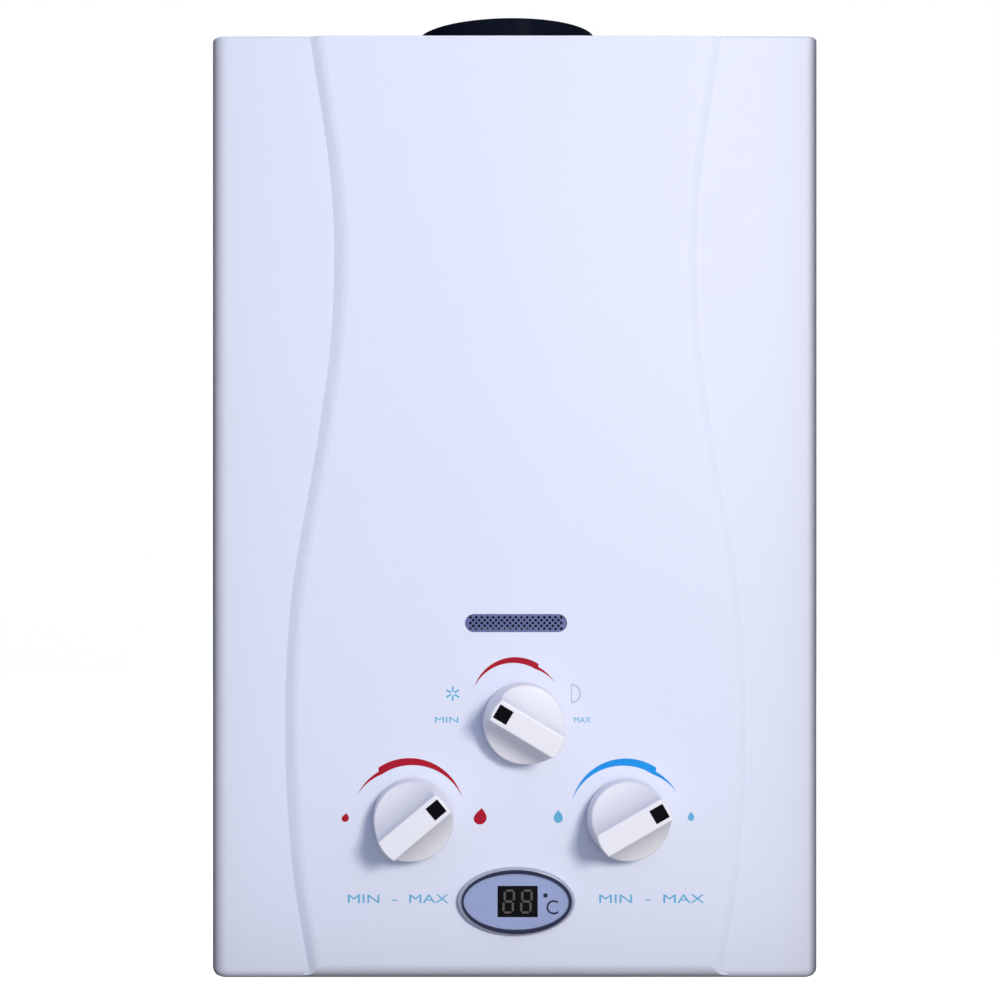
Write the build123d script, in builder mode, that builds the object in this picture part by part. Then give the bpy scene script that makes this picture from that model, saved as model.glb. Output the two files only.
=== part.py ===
from build123d import *
from math import cos, radians, sin
import os

os.makedirs("parts", exist_ok=True)

# Wall-hung gas water heater, in millimetres. X is right as seen from the front, +Y runs into the wall and
# +Z is up. The origin is the centre of the back plate's wall face, so the front looks along -Y.

# General fits
sheet = 0.8  # casing and chassis sheet
fit_gap = 0.3  # between nested sheets and at loose seats
shaft_gap = 0.08  # radial play of turning and sliding shafts
overrun = 10.0  # every through cut runs past its wall by this much

# Front cover
cover_width = 290.0
cover_height = 450.0
field_raise = 2.2  # raised centre field, above the side fields
field_band = 9.5  # width of the S-shaped crease
field_dip = 0.4  # the crease starts this far under the side field
field_end = 0.5  # the field stops this short of the top and bottom edges
side_bend = 7.0
bottom_bend = 4.5
top_bend = 1.6
cover_lip = 9.0  # flange left round the open bottom
rear_gap = 1.0  # cover's rear edge to the wall
field_height_shares = (0.0, 0.13, 0.26, 0.41, 0.53, 0.615, 0.72, 0.86, 1.0)
field_width_shares = (0.655, 0.722, 0.742, 0.722, 0.668, 0.612, 0.601, 0.617, 0.680)
louvre_length = 34.0
louvre_height = 3.0
louvre_pitch = 9.0
louvre_rows = 6
louvre_depth = 62.0  # wall to the middle of the louvres
louvre_low_height = 150.0
louvre_high_height = 330.0

# Back plate
flange_depth = 16.0
shelf_depth = 71.0  # wall to the shelf's lip
shelf_lip = 14.0
rib_length = 160.0
rib_width = 12.0
rib_depth = 2.0
rib_height_shares = (0.36, 0.62)  # of the cover's height
keyhole_spacing = 180.0
keyhole_drop = 34.0  # below the cover's top edge
keyhole_head_radius = 5.5
keyhole_slot_width = 5.5
keyhole_slot_length = 11.0
fixing_spacing = 180.0
fixing_height = 44.0
fixing_radius = 2.6
air_slot_length = 26.0
air_slot_width = 4.0
air_slot_pitch = 9.0
air_slot_count = 5

# Screws
screw_radius = 1.8
screw_hole_gap = 0.1
screw_head_radius = 3.6
screw_head_height = 2.0
screw_socket_radius = 1.5
screw_socket_depth = 1.0
cover_screw_spacing = 360.0
cover_screw_reach = 4.0  # shank beyond the cover's skin

# Viewing window
window_height = 170.0  # above the cover's bottom edge
window_length = 48.6
window_width = 8.6
mesh_thick = 0.6
mesh_border = 5.0
mesh_hole = 1.7
mesh_pitch = 2.7
mesh_columns = 17
mesh_rows = 3

# Display
display_height = 38.0
bezel_length = 55.6
bezel_width = 32.2
bezel_rim = 2.7
bezel_proud = 3.4
bezel_round = 1.2
bezel_ledge = 1.4
bezel_spigot = 8.0  # behind the cover's face
bezel_wall = 1.3
display_inset = 1.2  # face plate behind the bezel's crest
display_plate = 1.4
led_length = 19.1
led_width = 14.9
led_shift = 0.6  # digit block right of the bezel's middle
led_base_step = 1.2
board_margin = 2.0
board_thick = 1.6

# Knobs
knob_radius = 19.0
knob_height = 27.0
knob_skirt = 9.0  # height left at the rim beside the grip
knob_taper = 0.9
knob_edge = 0.9
knob_gap = 1.6  # knob to cover
grip_width = 11.5
grip_edge = 1.0
hub_radius = 7.0
hub_length = 9.0
cover_hole_gap = 1.5
bore_depth = 16.0
pointer_size = 7.0
pointer_depth = 1.2
pointer_inset = 1.6  # pointer's outer edge to the knob's rim
season_knob_x = 3.0
season_knob_height = 123.0
season_knob_angle = 149.0
gas_knob_x = -49.0
gas_knob_angle = 40.0
water_knob_x = 52.5
water_knob_angle = 30.0
spindle_radius = 4.0
spindle_flat_share = 0.55  # of the spindle's radius, axis to the flat
spindle_seat = 16.0  # length inside a valve boss

# Valves
valve_height = 77.5  # valve axis above the cover's bottom edge
valve_depth = 45.0  # valve axis to the wall
boss_radius = 10.0
gas_boss_front = 25.0  # boss face in front of the valve axis
water_boss_front = 34.0
gas_barrel_radius = 19.0
gas_barrel_half = 24.0
gas_boss_high = 20.0
valve_boss_low = 30.0
low_boss_radius = 13.0
solenoid_radius = 14.0
solenoid_length = 22.0
solenoid_cap_radius = 9.0
solenoid_cap = 3.0
water_flange_radius = 31.0
water_flange = 8.0
water_barrel_radius = 17.0
water_end = 10.0  # barrel beyond the cold riser's axis
outlet_boss_radius = 9.0
outlet_boss_high = 21.0
drain_boss_radius = 8.0
drain_boss_low = 21.0
cold_inlet_x = 68.0
diaphragm_thick = 2.0
diaphragm_cover_thick = 10.0
cover_hub_radius = 12.0
cover_hub_length = 9.0
clamp_circle_radius = 27.0
clamp_count = 6

# Push rod and microswitch
rod_radius = 2.5
rod_travel = 3.0
rod_seat = 12.0
collar_radius = 8.5
collar_thick = 3.0
collar_shift = 4.3  # collar's pushing face right of the gap's middle
lever_reach = 18.0
lever_thick = 1.0
lever_width = 8.0
lever_side = 7.5  # lever in front of the rod's axis
nose_radius = 4.5
lever_eye_radius = 1.8
pivot_radius = 1.0
switch_length = 22.0
switch_width = 12.0
switch_height = 10.0
switch_ear = 1.5
switch_ear_width = 4.0
switch_clear = 0.8  # switch case above the lever's eye
switch_front = 1.0  # case beyond the pivot
bracket_sheet = 1.2
bracket_hang = 12.0  # switch bracket's overlap on the valve's end

# Nipples and drain
nipple_stem_radius = 9.0
nipple_hex = 24.0  # across flats
nipple_hex_height = 9.0
nipple_neck_radius = 11.2
nipple_neck_drop = 2.0  # below the cover's bottom edge
thread_radius = 10.48
thread_length = 14.0
drain_stem_radius = 5.0
drain_head_radius = 8.0
drain_head_height = 18.0
drain_drop = 11.0  # head's lower end below the cover's bottom edge
drain_flute = 1.6
drain_flute_count = 10
drain_hole_gap = 1.5

# Burner
frame_height = 68.0
frame_below = 10.0  # frame's lower edge below the nozzle axis
bar_count = 7
bar_pitch = 22.0
bar_width = 9.0
bar_head = 20.0
bar_top = 38.0  # bar's top above the nozzle axis
venturi_radius = 7.0
venturi_bore = 4.6
venturi_share = 0.6  # of the bar's length
bar_web = 5.0
port_count = 6
port_width = 1.6
port_depth = 5.0
nozzle_hex = 7.0
nozzle_base = 4.0
nozzle_tip = 5.0
nozzle_tip_radius = 1.6
manifold_height = 16.0
manifold_depth = 13.0
manifold_end = 14.0  # beyond the outer nozzles
manifold_foot = 8.0
manifold_edge = 2.0
riser_radius = 5.0
riser_wall = 1.0
riser_bend = 8.0
riser_rise = 9.0

# Electrodes
electrode_radius = 3.2
electrode_collar_radius = 5.0
electrode_collar = 3.0
electrode_tail = 8.0
electrode_nose = 6.0  # ceramic inside the frame
electrode_wire_radius = 1.0
electrode_wire = 20.0
spark_x = 42.0
probe_x = 58.0
spark_rise = 10.0  # above the bars
probe_rise = 4.0
electrode_margin = 8.0

# Heat exchanger
shell_width = 170.0
shell_depth = 78.0
shell_rear_room = 19.0  # wall to the shell
shell_front_room = 30.5  # shell to the cover's side fields
shell_height = 178.0
shell_lap = 6.0  # shell inside the burner frame
shell_corner = 8.0
tube_radius = 6.0
tube_wall = 0.8
tube_drop = 23.0  # tube axes below the shell's top
tube_bend = 12.0
return_straight = 1.0  # half the straight run between two return bends
tube_overhang = 13.5  # return bend's line beyond the shell
link_drop = 16.0
fin_count = 12
fin_thick = 0.5
fin_height = 38.0
fin_side_gap = 0.3
coil_gap = 0.5
coil_pitch = 40.0
coil_turns = 2
coil_low = 24.0  # first bend above the shell's lower edge
cold_shift = 6.0  # cold riser outside the coil's side run
union_drop = 10.0  # cold union below the shell's lower edge
union_hex = 18.0
union_height = 10.0
hot_clear = 1.5
hot_bend = 30.0
hot_high_share = 0.45  # of the shell's height, upper bend
hot_low_share = 0.15  # of the shell's height, lower bend
hot_union_height = 27.0
hanger_height = 22.0
hanger_drop = 42.0  # hanger's top below the shell's top
hanger_arm = 44.0
hanger_foot = 22.0
overheat_radius = 9.0
overheat_depth = 7.0
overheat_x = -45.0
overheat_drop = 56.0
overheat_stud_radius = 4.0
overheat_stud = 3.0

# Flue
hood_drop = 17.0  # hood's top below the cover's top edge
hood_lap = 10.0
hood_top_width = 124.0
hood_front_room = 11.5  # hood's upper front edge to the side fields
hood_top_rear = 10.0
hood_tab = 14.0
hood_tab_width = 60.0
flue_back = 1.75  # flue's axis behind the middle of the cover's depth
flue_radius = 45.0
flue_height = 31.0
flue_flange_side = 100.0
flue_flange_corner = 8.0
flue_screw_radius = 58.0
flue_screw_count = 4
flue_notch = 12.0  # cover's notch outside the collar

# Electrics
control_clear = 3.2  # between the box and the cold riser's nut
control_depth = 59.0
control_height = 90.0
control_low_height = 130.0
control_side_gap = 2.0
control_round_share = 0.1  # of the box's width
control_ear = 9.0
control_ear_thick = 3.0
cell_radius = 16.9
cell_length = 60.0
cell_nub_radius = 5.0
cell_nub = 1.5
cell_play = 0.4
battery_wall = 2.0
battery_side_room = 8.0
battery_top_gap = 0.6
lid_thick = 2.6
lid_lift = 0.8  # lid's lower face above the cover's bottom edge
lid_pin_radius = 1.2
lid_tab_width = 18.0
lid_tab = 3.0
lid_ear = 2.4
lid_ear_width = 5.0
contact_high = 1.4

# Places worked out from the sizes above
bottom_z = -cover_height / 2
top_z = cover_height / 2
cover_depth = shell_rear_room + shell_depth + shell_front_room  # wall to the side fields
field_y = -(cover_depth + field_raise)
inner_side_x = cover_width / 2 - sheet
plate_side_x = inner_side_x - fit_gap
plate_low_z = bottom_z + sheet + fit_gap
plate_high_z = top_z - sheet - fit_gap
shelf_top_z = plate_low_z + sheet
valve_y = -valve_depth
valve_z = bottom_z + valve_height
nozzle_z = bottom_z + season_knob_height
exchanger_y = -(shell_rear_room + shell_depth / 2)
frame_low_z = nozzle_z - frame_below
frame_high_z = frame_low_z + frame_height
frame_width = shell_width + 2 * (fit_gap + sheet)
frame_depth = shell_depth + 2 * (fit_gap + sheet)
frame_corner = shell_corner + fit_gap + sheet
frame_front_y = exchanger_y - frame_depth / 2
shell_low_z = frame_high_z - shell_lap
shell_high_z = shell_low_z + shell_height
shell_front_y = exchanger_y - shell_depth / 2
tube_z = shell_high_z - tube_drop
tube_pitch = shell_depth / 3
return_bend = tube_pitch / 2 - return_straight
link_z = tube_z - link_drop
hood_top_z = top_z - hood_drop
hood_low_z = shell_high_z - hood_lap
hood_top_front = cover_depth - hood_front_room
flue_depth = cover_depth / 2 - flue_back
bar_high_z = nozzle_z + bar_top
window_z = bottom_z + window_height
display_z = bottom_z + display_height
manifold_rear_y = frame_front_y - nozzle_base - nozzle_tip
manifold_y = manifold_rear_y - manifold_depth / 2
manifold_half = (bar_count - 1) * bar_pitch / 2 + manifold_end
coil_x = shell_width / 2 + coil_gap + tube_radius
coil_reach = shell_depth / 2 + coil_gap + tube_radius
coil_bend = shell_corner + coil_gap + tube_radius
cold_x = coil_x + cold_shift
hot_x = -(coil_x + 2 * tube_radius + hot_clear)
union_z = shell_low_z - union_drop
union_corner = union_hex / 2 / cos(radians(180 / 6))
control_side_x = plate_side_x - sheet - control_side_gap
control_width = control_side_x - cold_x - union_corner - control_clear
control_round = control_round_share * control_width
cell_pitch = 2 * cell_radius + cell_play
battery_length = 2 * cell_pitch + cell_play + 2 * battery_wall
battery_x = battery_side_room + battery_length / 2 - plate_side_x
gas_end_x = gas_knob_x + gas_barrel_half
water_face_x = water_knob_x - boss_radius - fit_gap
diaphragm_x = water_face_x - diaphragm_thick
clamp_face_x = diaphragm_x - diaphragm_cover_thick
hub_end_x = clamp_face_x - cover_hub_length
collar_x = (gas_end_x + hub_end_x) / 2 + collar_shift
pivot_x = collar_x - fit_gap - nose_radius - lever_thick / 2
pivot_z = valve_z + lever_reach
lever_y = valve_y - lever_side
thread_top_z = bottom_z - nipple_neck_drop
screw_hole = screw_radius + screw_hole_gap
scoop_run = knob_radius - grip_width / 2
scoop_drop = knob_height - knob_skirt
scoop_radius = (scoop_run**2 + scoop_drop**2) / (2 * scoop_run)
bottom_centre = (Align.CENTER, Align.CENTER, Align.MIN)
top_centre = (Align.CENTER, Align.CENTER, Align.MAX)


def save(piece, name):
    """Label a finished piece and write it to its own file."""
    piece.label = name
    export_step(piece, f"parts/{name}.step")


def front_plane(x, z, y=0):
    """Plane that looks out of the front, its own Z along -Y."""
    return Plane(origin=(x, y, z), x_dir=(1, 0, 0), z_dir=(0, -1, 0))


def side_plane(x, y=valve_y, z=valve_z):
    """Plane across the valves' common axis, its own Z along +X."""
    return Plane(origin=(x, y, z), x_dir=(0, 1, 0), z_dir=(1, 0, 0))


def pipe(points, bends, radius, bore=0):
    """Tube of straight runs joined by tangent arcs."""
    with BuildPart() as tube:
        with BuildLine() as route:
            FilletPolyline(*points, radius=bends)
        with BuildSketch(Plane(origin=route.line @ 0, z_dir=route.line % 0)):
            Circle(radius)
            if bore:
                Circle(bore, mode=Mode.SUBTRACT)
        sweep()
    return tube.part


def screws(seats, reach):
    """Group of equal screws, each with its head on the plane of its seat."""
    with BuildPart() as group:
        for seat in seats:
            with BuildSketch(seat):
                Circle(screw_head_radius)
            extrude(amount=screw_head_height)
            with BuildSketch(seat.offset(screw_head_height)):
                RegularPolygon(screw_socket_radius, side_count=6)
            extrude(amount=-screw_socket_depth, mode=Mode.SUBTRACT)
            with BuildSketch(seat):
                Circle(screw_radius)
            extrude(amount=-reach)
    return group.part


def cover_body(inset, rear):
    """Closed form of the cover, moved inwards by inset: a bent box and the raised field on its front."""
    low = bottom_z + inset
    high = top_z - inset
    half = cover_width / 2 - inset
    face = cover_depth - inset
    crest = face + field_raise
    with BuildPart() as field:
        for height_share, width_share in zip(field_height_shares, field_width_shares):
            middle = width_share * cover_width / 2
            top_x = middle - field_band / 2
            foot_x = middle + field_band / 2
            foot_y = field_dip - face
            deep_y = foot_y + 2 * bottom_bend
            section_z = low + field_end + height_share * (high - low - 2 * field_end)
            with BuildSketch(Plane.XY.offset(section_z)):
                with BuildLine():
                    Polyline((-foot_x, foot_y), (-foot_x, deep_y), (foot_x, deep_y), (foot_x, foot_y))
                    Bezier((foot_x, foot_y), (middle, foot_y), (middle, -crest), (top_x, -crest))
                    Line((top_x, -crest), (-top_x, -crest))
                    Bezier((-top_x, -crest), (-middle, -crest), (-middle, foot_y), (-foot_x, foot_y))
                make_face()
        loft()
        with BuildSketch(Plane.YZ.offset(-half)) as side:
            with Locations((-crest, low + field_end)):
                Rectangle(crest, high - low - 2 * field_end, align=(Align.MIN, Align.MIN))
            front_corner = side.vertices().group_by(Axis.X)[0].sort_by(Axis.Y)[0]
            fillet(front_corner, radius=bottom_bend + field_raise - inset)
        extrude(amount=2 * half, mode=Mode.INTERSECT)
    with BuildPart() as body:
        with BuildSketch(Plane.XY.offset(low)):
            with Locations((0, -rear)):
                Rectangle(2 * half, face - rear, align=(Align.CENTER, Align.MAX))
        extrude(amount=high - low)
        fillet(body.edges().filter_by(Axis.Z).group_by(Axis.Y)[0], radius=side_bend - inset)
        fillet(body.faces().sort_by(Axis.Z)[0].edges().sort_by(Axis.Y)[:-1], radius=bottom_bend - inset)
        fillet(body.faces().sort_by(Axis.Z)[-1].edges().sort_by(Axis.Y)[:-1], radius=top_bend - inset)
        add(field.part)
    return body.part


# Front cover: pressed sheet with the wavy raised field, open at the rear, the bottom and round the flue
knob_places = (
    (season_knob_x, nozzle_z),
    (gas_knob_x, valve_z),
    (water_knob_x, valve_z),
)
cover_screw_y = -(rear_gap + flange_depth) / 2
outer_body = cover_body(0, rear_gap)
inner_body = cover_body(sheet, -overrun)
with BuildPart() as front_cover:
    add(outer_body)
    add(inner_body, mode=Mode.SUBTRACT)
    with BuildSketch(Plane.XY.offset(bottom_z - overrun)):
        with Locations((0, cover_lip - cover_depth)):
            Rectangle(cover_width - 2 * cover_lip, cover_depth, align=(Align.CENTER, Align.MIN))
    extrude(amount=overrun + bottom_bend, mode=Mode.SUBTRACT)
    with BuildSketch(Plane.XY.offset(top_z + overrun)):
        with Locations((0, -flue_depth)):
            Circle(flue_radius + flue_notch)
            Rectangle(2 * (flue_radius + flue_notch), flue_depth, align=(Align.CENTER, Align.MIN))
    extrude(amount=-(overrun + top_bend), mode=Mode.SUBTRACT)
    with BuildSketch(Plane.XZ.offset(cover_depth - sheet - overrun)):
        with Locations(*knob_places):
            Circle(hub_radius + cover_hole_gap)
        with Locations((0, window_z)):
            SlotOverall(window_length, window_width)
        with Locations((0, display_z)):
            Ellipse(bezel_length / 2 - bezel_rim + bezel_wall, bezel_width / 2 - bezel_rim + bezel_wall)
    extrude(amount=2 * overrun, mode=Mode.SUBTRACT)
    for low_height in (louvre_low_height, louvre_high_height):
        with BuildSketch(Plane.YZ.offset(-cover_width / 2 - overrun)):
            with Locations((-louvre_depth, bottom_z + low_height)):
                with GridLocations(0, louvre_pitch, 1, louvre_rows):
                    SlotOverall(louvre_length, louvre_height)
        extrude(amount=cover_width + 2 * overrun, mode=Mode.SUBTRACT)
    with BuildSketch(Plane.YZ.offset(-cover_width / 2 - overrun)):
        with Locations((cover_screw_y, 0)):
            with GridLocations(0, cover_screw_spacing, 1, 2):
                Circle(screw_hole)
    extrude(amount=cover_width + 2 * overrun, mode=Mode.SUBTRACT)
save(front_cover.part, "front_cover")

# Back plate: folded tray with a shelf for the nipples, keyholes, stiffening ribs and air slots
keyhole_z = top_z - keyhole_drop
fixing_z = bottom_z + fixing_height
hanger_z = shell_high_z - hanger_drop - hanger_height / 2
hanger_x = shell_width / 2 + fit_gap
control_x = control_side_x - control_width / 2
control_low_z = bottom_z + control_low_height
control_high_z = control_low_z + control_height
hood_tab_z = hood_top_z + hood_tab / 2
plate_screw_places = (
    (-hood_tab_width, hood_tab_z, sheet),
    (hood_tab_width, hood_tab_z, sheet),
    (-hanger_x - hanger_foot / 2, hanger_z, bracket_sheet),
    (hanger_x + hanger_foot / 2, hanger_z, bracket_sheet),
    (control_x, control_high_z + control_ear / 2, control_ear_thick),
    (control_x, control_low_z - control_ear / 2, control_ear_thick),
)
with BuildPart() as back_plate:
    with BuildSketch(Plane.XZ) as tray:
        with Locations((0, plate_low_z)):
            Rectangle(2 * plate_side_x, plate_high_z - plate_low_z, align=(Align.CENTER, Align.MIN))
        fillet(tray.vertices().group_by(Axis.Z)[0], radius=bottom_bend)
    extrude(amount=flange_depth)
    with BuildSketch(Plane.XZ.offset(sheet)) as hollow:
        with Locations((0, shelf_top_z)):
            Rectangle(
                2 * (plate_side_x - sheet),
                plate_high_z - shelf_top_z - sheet,
                align=(Align.CENTER, Align.MIN),
            )
        fillet(hollow.vertices().group_by(Axis.Z)[0], radius=bottom_bend - sheet)
    extrude(amount=flange_depth, mode=Mode.SUBTRACT)
    shelf_width = 2 * (plate_side_x - bottom_bend)
    with BuildSketch(Plane.XY.offset(plate_low_z)):
        Rectangle(shelf_width, shelf_depth, align=(Align.CENTER, Align.MAX))
    extrude(amount=sheet)
    with BuildSketch(Plane.XY.offset(plate_low_z)):
        with Locations((0, -shelf_depth)):
            Rectangle(shelf_width, sheet, align=(Align.CENTER, Align.MIN))
    extrude(amount=shelf_lip)
    with BuildSketch(Plane.XY.offset(plate_high_z - sheet)):
        with Locations((0, -flue_depth)):
            Circle(flue_radius + flue_notch)
    extrude(amount=2 * sheet, mode=Mode.SUBTRACT)
    for rib_share in rib_height_shares:
        rib_z = bottom_z + rib_share * cover_height
        with BuildSketch(Plane.XZ):
            with Locations((0, rib_z)):
                SlotOverall(rib_length, rib_width)
        extrude(amount=sheet + rib_depth)
        with BuildSketch(Plane.XZ):
            with Locations((0, rib_z)):
                SlotOverall(rib_length - 2 * sheet, rib_width - 2 * sheet)
        extrude(amount=rib_depth, mode=Mode.SUBTRACT)
    with BuildSketch(Plane.XZ.offset(-overrun)):
        with Locations((0, keyhole_z)):
            with GridLocations(keyhole_spacing, 0, 2, 1):
                Circle(keyhole_head_radius)
                with Locations((0, keyhole_slot_length / 2)):
                    SlotOverall(keyhole_slot_length + keyhole_slot_width, keyhole_slot_width, rotation=90)
        with Locations((0, fixing_z)):
            with GridLocations(fixing_spacing, 0, 2, 1):
                Circle(fixing_radius)
        for screw_x, screw_z, seat_thick in plate_screw_places:
            with Locations((screw_x, screw_z)):
                Circle(screw_hole)
    extrude(amount=2 * overrun, mode=Mode.SUBTRACT)
    with BuildSketch(Plane.XY.offset(plate_low_z - overrun)):
        with Locations((hot_x, valve_y), (gas_knob_x, valve_y), (cold_inlet_x, valve_y)):
            Circle(nipple_neck_radius + fit_gap)
        with Locations((cold_x, valve_y)):
            Circle(drain_head_radius + drain_hole_gap)
        with Locations(((gas_knob_x + cold_inlet_x) / 2, valve_y)):
            with GridLocations(air_slot_pitch, 0, air_slot_count, 1):
                SlotOverall(air_slot_length, air_slot_width, rotation=90)
    extrude(amount=overrun + 2 * sheet, mode=Mode.SUBTRACT)
    with BuildSketch(Plane.YZ.offset(-plate_side_x - overrun)):
        with Locations((cover_screw_y, 0)):
            with GridLocations(0, cover_screw_spacing, 1, 2):
                Circle(screw_hole)
    extrude(amount=2 * (plate_side_x + overrun), mode=Mode.SUBTRACT)
    battery_screw_x = cell_radius
    battery_screw_z = plate_low_z + shelf_lip / 2
    with BuildSketch(Plane.XZ.offset(shelf_depth - sheet - overrun)):
        with Locations((battery_x, battery_screw_z)):
            with GridLocations(2 * battery_screw_x, 0, 2, 1):
                Circle(screw_hole)
    extrude(amount=2 * overrun, mode=Mode.SUBTRACT)
save(back_plate.part, "back_plate")

# Screws through the cover's sides
cover_screw_seats = []
for side in (-1, 1):
    for screw_z in (-cover_screw_spacing / 2, cover_screw_spacing / 2):
        seat_origin = (side * cover_width / 2, cover_screw_y, screw_z)
        cover_screw_seats.append(Plane(origin=seat_origin, x_dir=(0, 1, 0), z_dir=(side, 0, 0)))
cover_screws = screws(cover_screw_seats, cover_screw_reach)
save(cover_screws, "cover_screws")

# Screws into the back plate, ending flush inside the wall face
with BuildPart() as chassis_screws:
    for screw_x, screw_z, seat_thick in plate_screw_places:
        seat = front_plane(screw_x, screw_z, -(sheet + seat_thick))
        add(screws([seat], seat_thick + sheet / 2))
    for side in (-1, 1):
        lip_origin = (battery_x + side * battery_screw_x, sheet - shelf_depth, battery_screw_z)
        lip_seat = Plane(origin=lip_origin, x_dir=(1, 0, 0), z_dir=(0, 1, 0))
        add(screws([lip_seat], sheet + battery_wall - fit_gap))
save(chassis_screws.part, "chassis_screws")

# Perforated sheet behind the viewing window
mesh_y = -(cover_depth + field_raise - sheet)
with BuildPart() as window_mesh:
    with BuildSketch(front_plane(0, window_z, mesh_y)):
        Rectangle(window_length + 2 * mesh_border, window_width + 2 * mesh_border)
        with GridLocations(mesh_pitch, mesh_pitch, mesh_columns, mesh_rows):
            RegularPolygon(mesh_hole / 2, side_count=4, mode=Mode.SUBTRACT)
        with GridLocations(mesh_pitch, mesh_pitch, mesh_columns - 1, mesh_rows - 1):
            RegularPolygon(mesh_hole / 2, side_count=4, mode=Mode.SUBTRACT)
    extrude(amount=-mesh_thick)
save(window_mesh.part, "window_mesh")

# Display: oval bezel, face plate on its ledge, two-digit block on a board behind
display_plane = front_plane(0, display_z, field_y)
face_length = bezel_length / 2 - bezel_rim
face_width = bezel_width / 2 - bezel_rim
face_top = bezel_proud - display_inset
with BuildPart() as display_bezel:
    with BuildSketch(display_plane):
        Ellipse(bezel_length / 2, bezel_width / 2)
    extrude(amount=bezel_proud)
    fillet(display_bezel.faces().sort_by(Axis.Y)[0].edges(), radius=bezel_round)
    with BuildSketch(display_plane):
        Ellipse(face_length + bezel_wall - fit_gap, face_width + bezel_wall - fit_gap)
    extrude(amount=-bezel_spigot)
    with BuildSketch(display_plane.offset(face_top - display_plate)):
        Ellipse(face_length, face_width)
    extrude(amount=overrun, mode=Mode.SUBTRACT)
    with BuildSketch(display_plane.offset(-bezel_spigot - overrun)):
        Ellipse(face_length - bezel_ledge, face_width - bezel_ledge)
    extrude(amount=2 * overrun + bezel_spigot, mode=Mode.SUBTRACT)
save(display_bezel.part, "display_bezel")

with BuildPart() as display_face:
    with BuildSketch(display_plane.offset(face_top)):
        Ellipse(face_length - shaft_gap, face_width - shaft_gap)
        with Locations((led_shift, 0)):
            Rectangle(led_length, led_width, mode=Mode.SUBTRACT)
    extrude(amount=-display_plate)
save(display_face.part, "display_face")

with BuildPart() as display_led:
    with BuildSketch(display_plane.offset(-bezel_spigot)):
        with Locations((led_shift, 0)):
            Rectangle(led_length - 2 * shaft_gap, led_width - 2 * shaft_gap)
    extrude(amount=bezel_spigot + face_top - fit_gap)
    with BuildSketch(display_plane.offset(-bezel_spigot)):
        with Locations((led_shift, 0)):
            Rectangle(led_length + 2 * led_base_step, led_width + 2 * led_base_step)
    extrude(amount=bezel_spigot + face_top - display_plate - fit_gap)
save(display_led.part, "display_led")

with BuildPart() as display_board:
    with BuildSketch(display_plane.offset(-bezel_spigot)):
        RectangleRounded(bezel_length + 2 * board_margin, bezel_width + 2 * board_margin, board_margin)
    extrude(amount=-board_thick)
save(display_board.part, "display_board")


def spindle_profile(radius):
    """D-shaped section with its flat across local X."""
    flat = spindle_flat_share * spindle_radius
    Circle(radius)
    with Locations((flat + radius - spindle_radius, 0)):
        Rectangle(spindle_radius, 2 * radius, align=(Align.MIN, Align.CENTER), mode=Mode.SUBTRACT)


def control(name, x, z, angle, seat_y):
    """Knob with its pointer inlay and the spindle that reaches back into its valve."""
    turn = radians(angle)
    base = Plane(origin=(x, field_y - knob_gap, z), x_dir=(cos(turn), 0, sin(turn)), z_dir=(0, -1, 0))
    pointer_x = knob_radius - knob_taper - pointer_inset - pointer_size / 2
    with BuildPart(base) as knob:
        Cone(knob_radius, knob_radius - knob_taper, knob_height, align=bottom_centre)
        fillet(knob.faces().sort_by(Axis.Y)[0].edges(), radius=knob_edge)
        for side in (-1, 1):
            scoop_place = Location((0, side * (grip_width / 2 + scoop_radius), knob_height), (0, 90, 0))
            with Locations(scoop_place):
                Cylinder(scoop_radius, 2 * (knob_radius + overrun), mode=Mode.SUBTRACT)
        fillet(knob.faces().sort_by(Axis.Y)[0].edges().filter_by(GeomType.LINE), radius=grip_edge)
        with Locations((pointer_x, 0, knob_height - pointer_depth)):
            Box(pointer_size, pointer_size, overrun, align=bottom_centre, mode=Mode.SUBTRACT)
        Cylinder(hub_radius, hub_length, align=top_centre)
        with BuildSketch(base.offset(-hub_length)):
            spindle_profile(spindle_radius + shaft_gap)
        extrude(amount=bore_depth, mode=Mode.SUBTRACT)
    save(knob.part, f"{name}_knob")

    with BuildPart(base) as pointer:
        with Locations((pointer_x, 0, knob_height - pointer_depth)):
            pointer_side = pointer_size - 2 * shaft_gap
            Box(pointer_side, pointer_side, pointer_depth, align=bottom_centre)
    save(pointer.part, f"{name}_pointer")

    bore_end = bore_depth - hub_length - fit_gap
    tip = seat_y + spindle_seat - fit_gap
    with BuildPart() as spindle:
        with BuildSketch(base.offset(bore_end)):
            spindle_profile(spindle_radius)
        extrude(amount=-bore_depth + fit_gap)
        with BuildSketch(front_plane(x, z, tip)):
            Circle(spindle_radius)
        extrude(amount=tip - base.offset(-hub_length).origin.Y)
    save(spindle.part, f"{name}_spindle")


manifold_front_y = manifold_rear_y - manifold_depth
gas_boss_y = valve_y - gas_boss_front
water_boss_y = valve_y - water_boss_front
manifold_seat = manifold_depth * 2 / 3
control("gas", gas_knob_x, valve_z, gas_knob_angle, gas_boss_y)
control("water", water_knob_x, valve_z, water_knob_angle, water_boss_y)
season_boss_y = manifold_front_y - spindle_seat + manifold_seat
control("season", season_knob_x, nozzle_z, season_knob_angle, season_boss_y)

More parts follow.
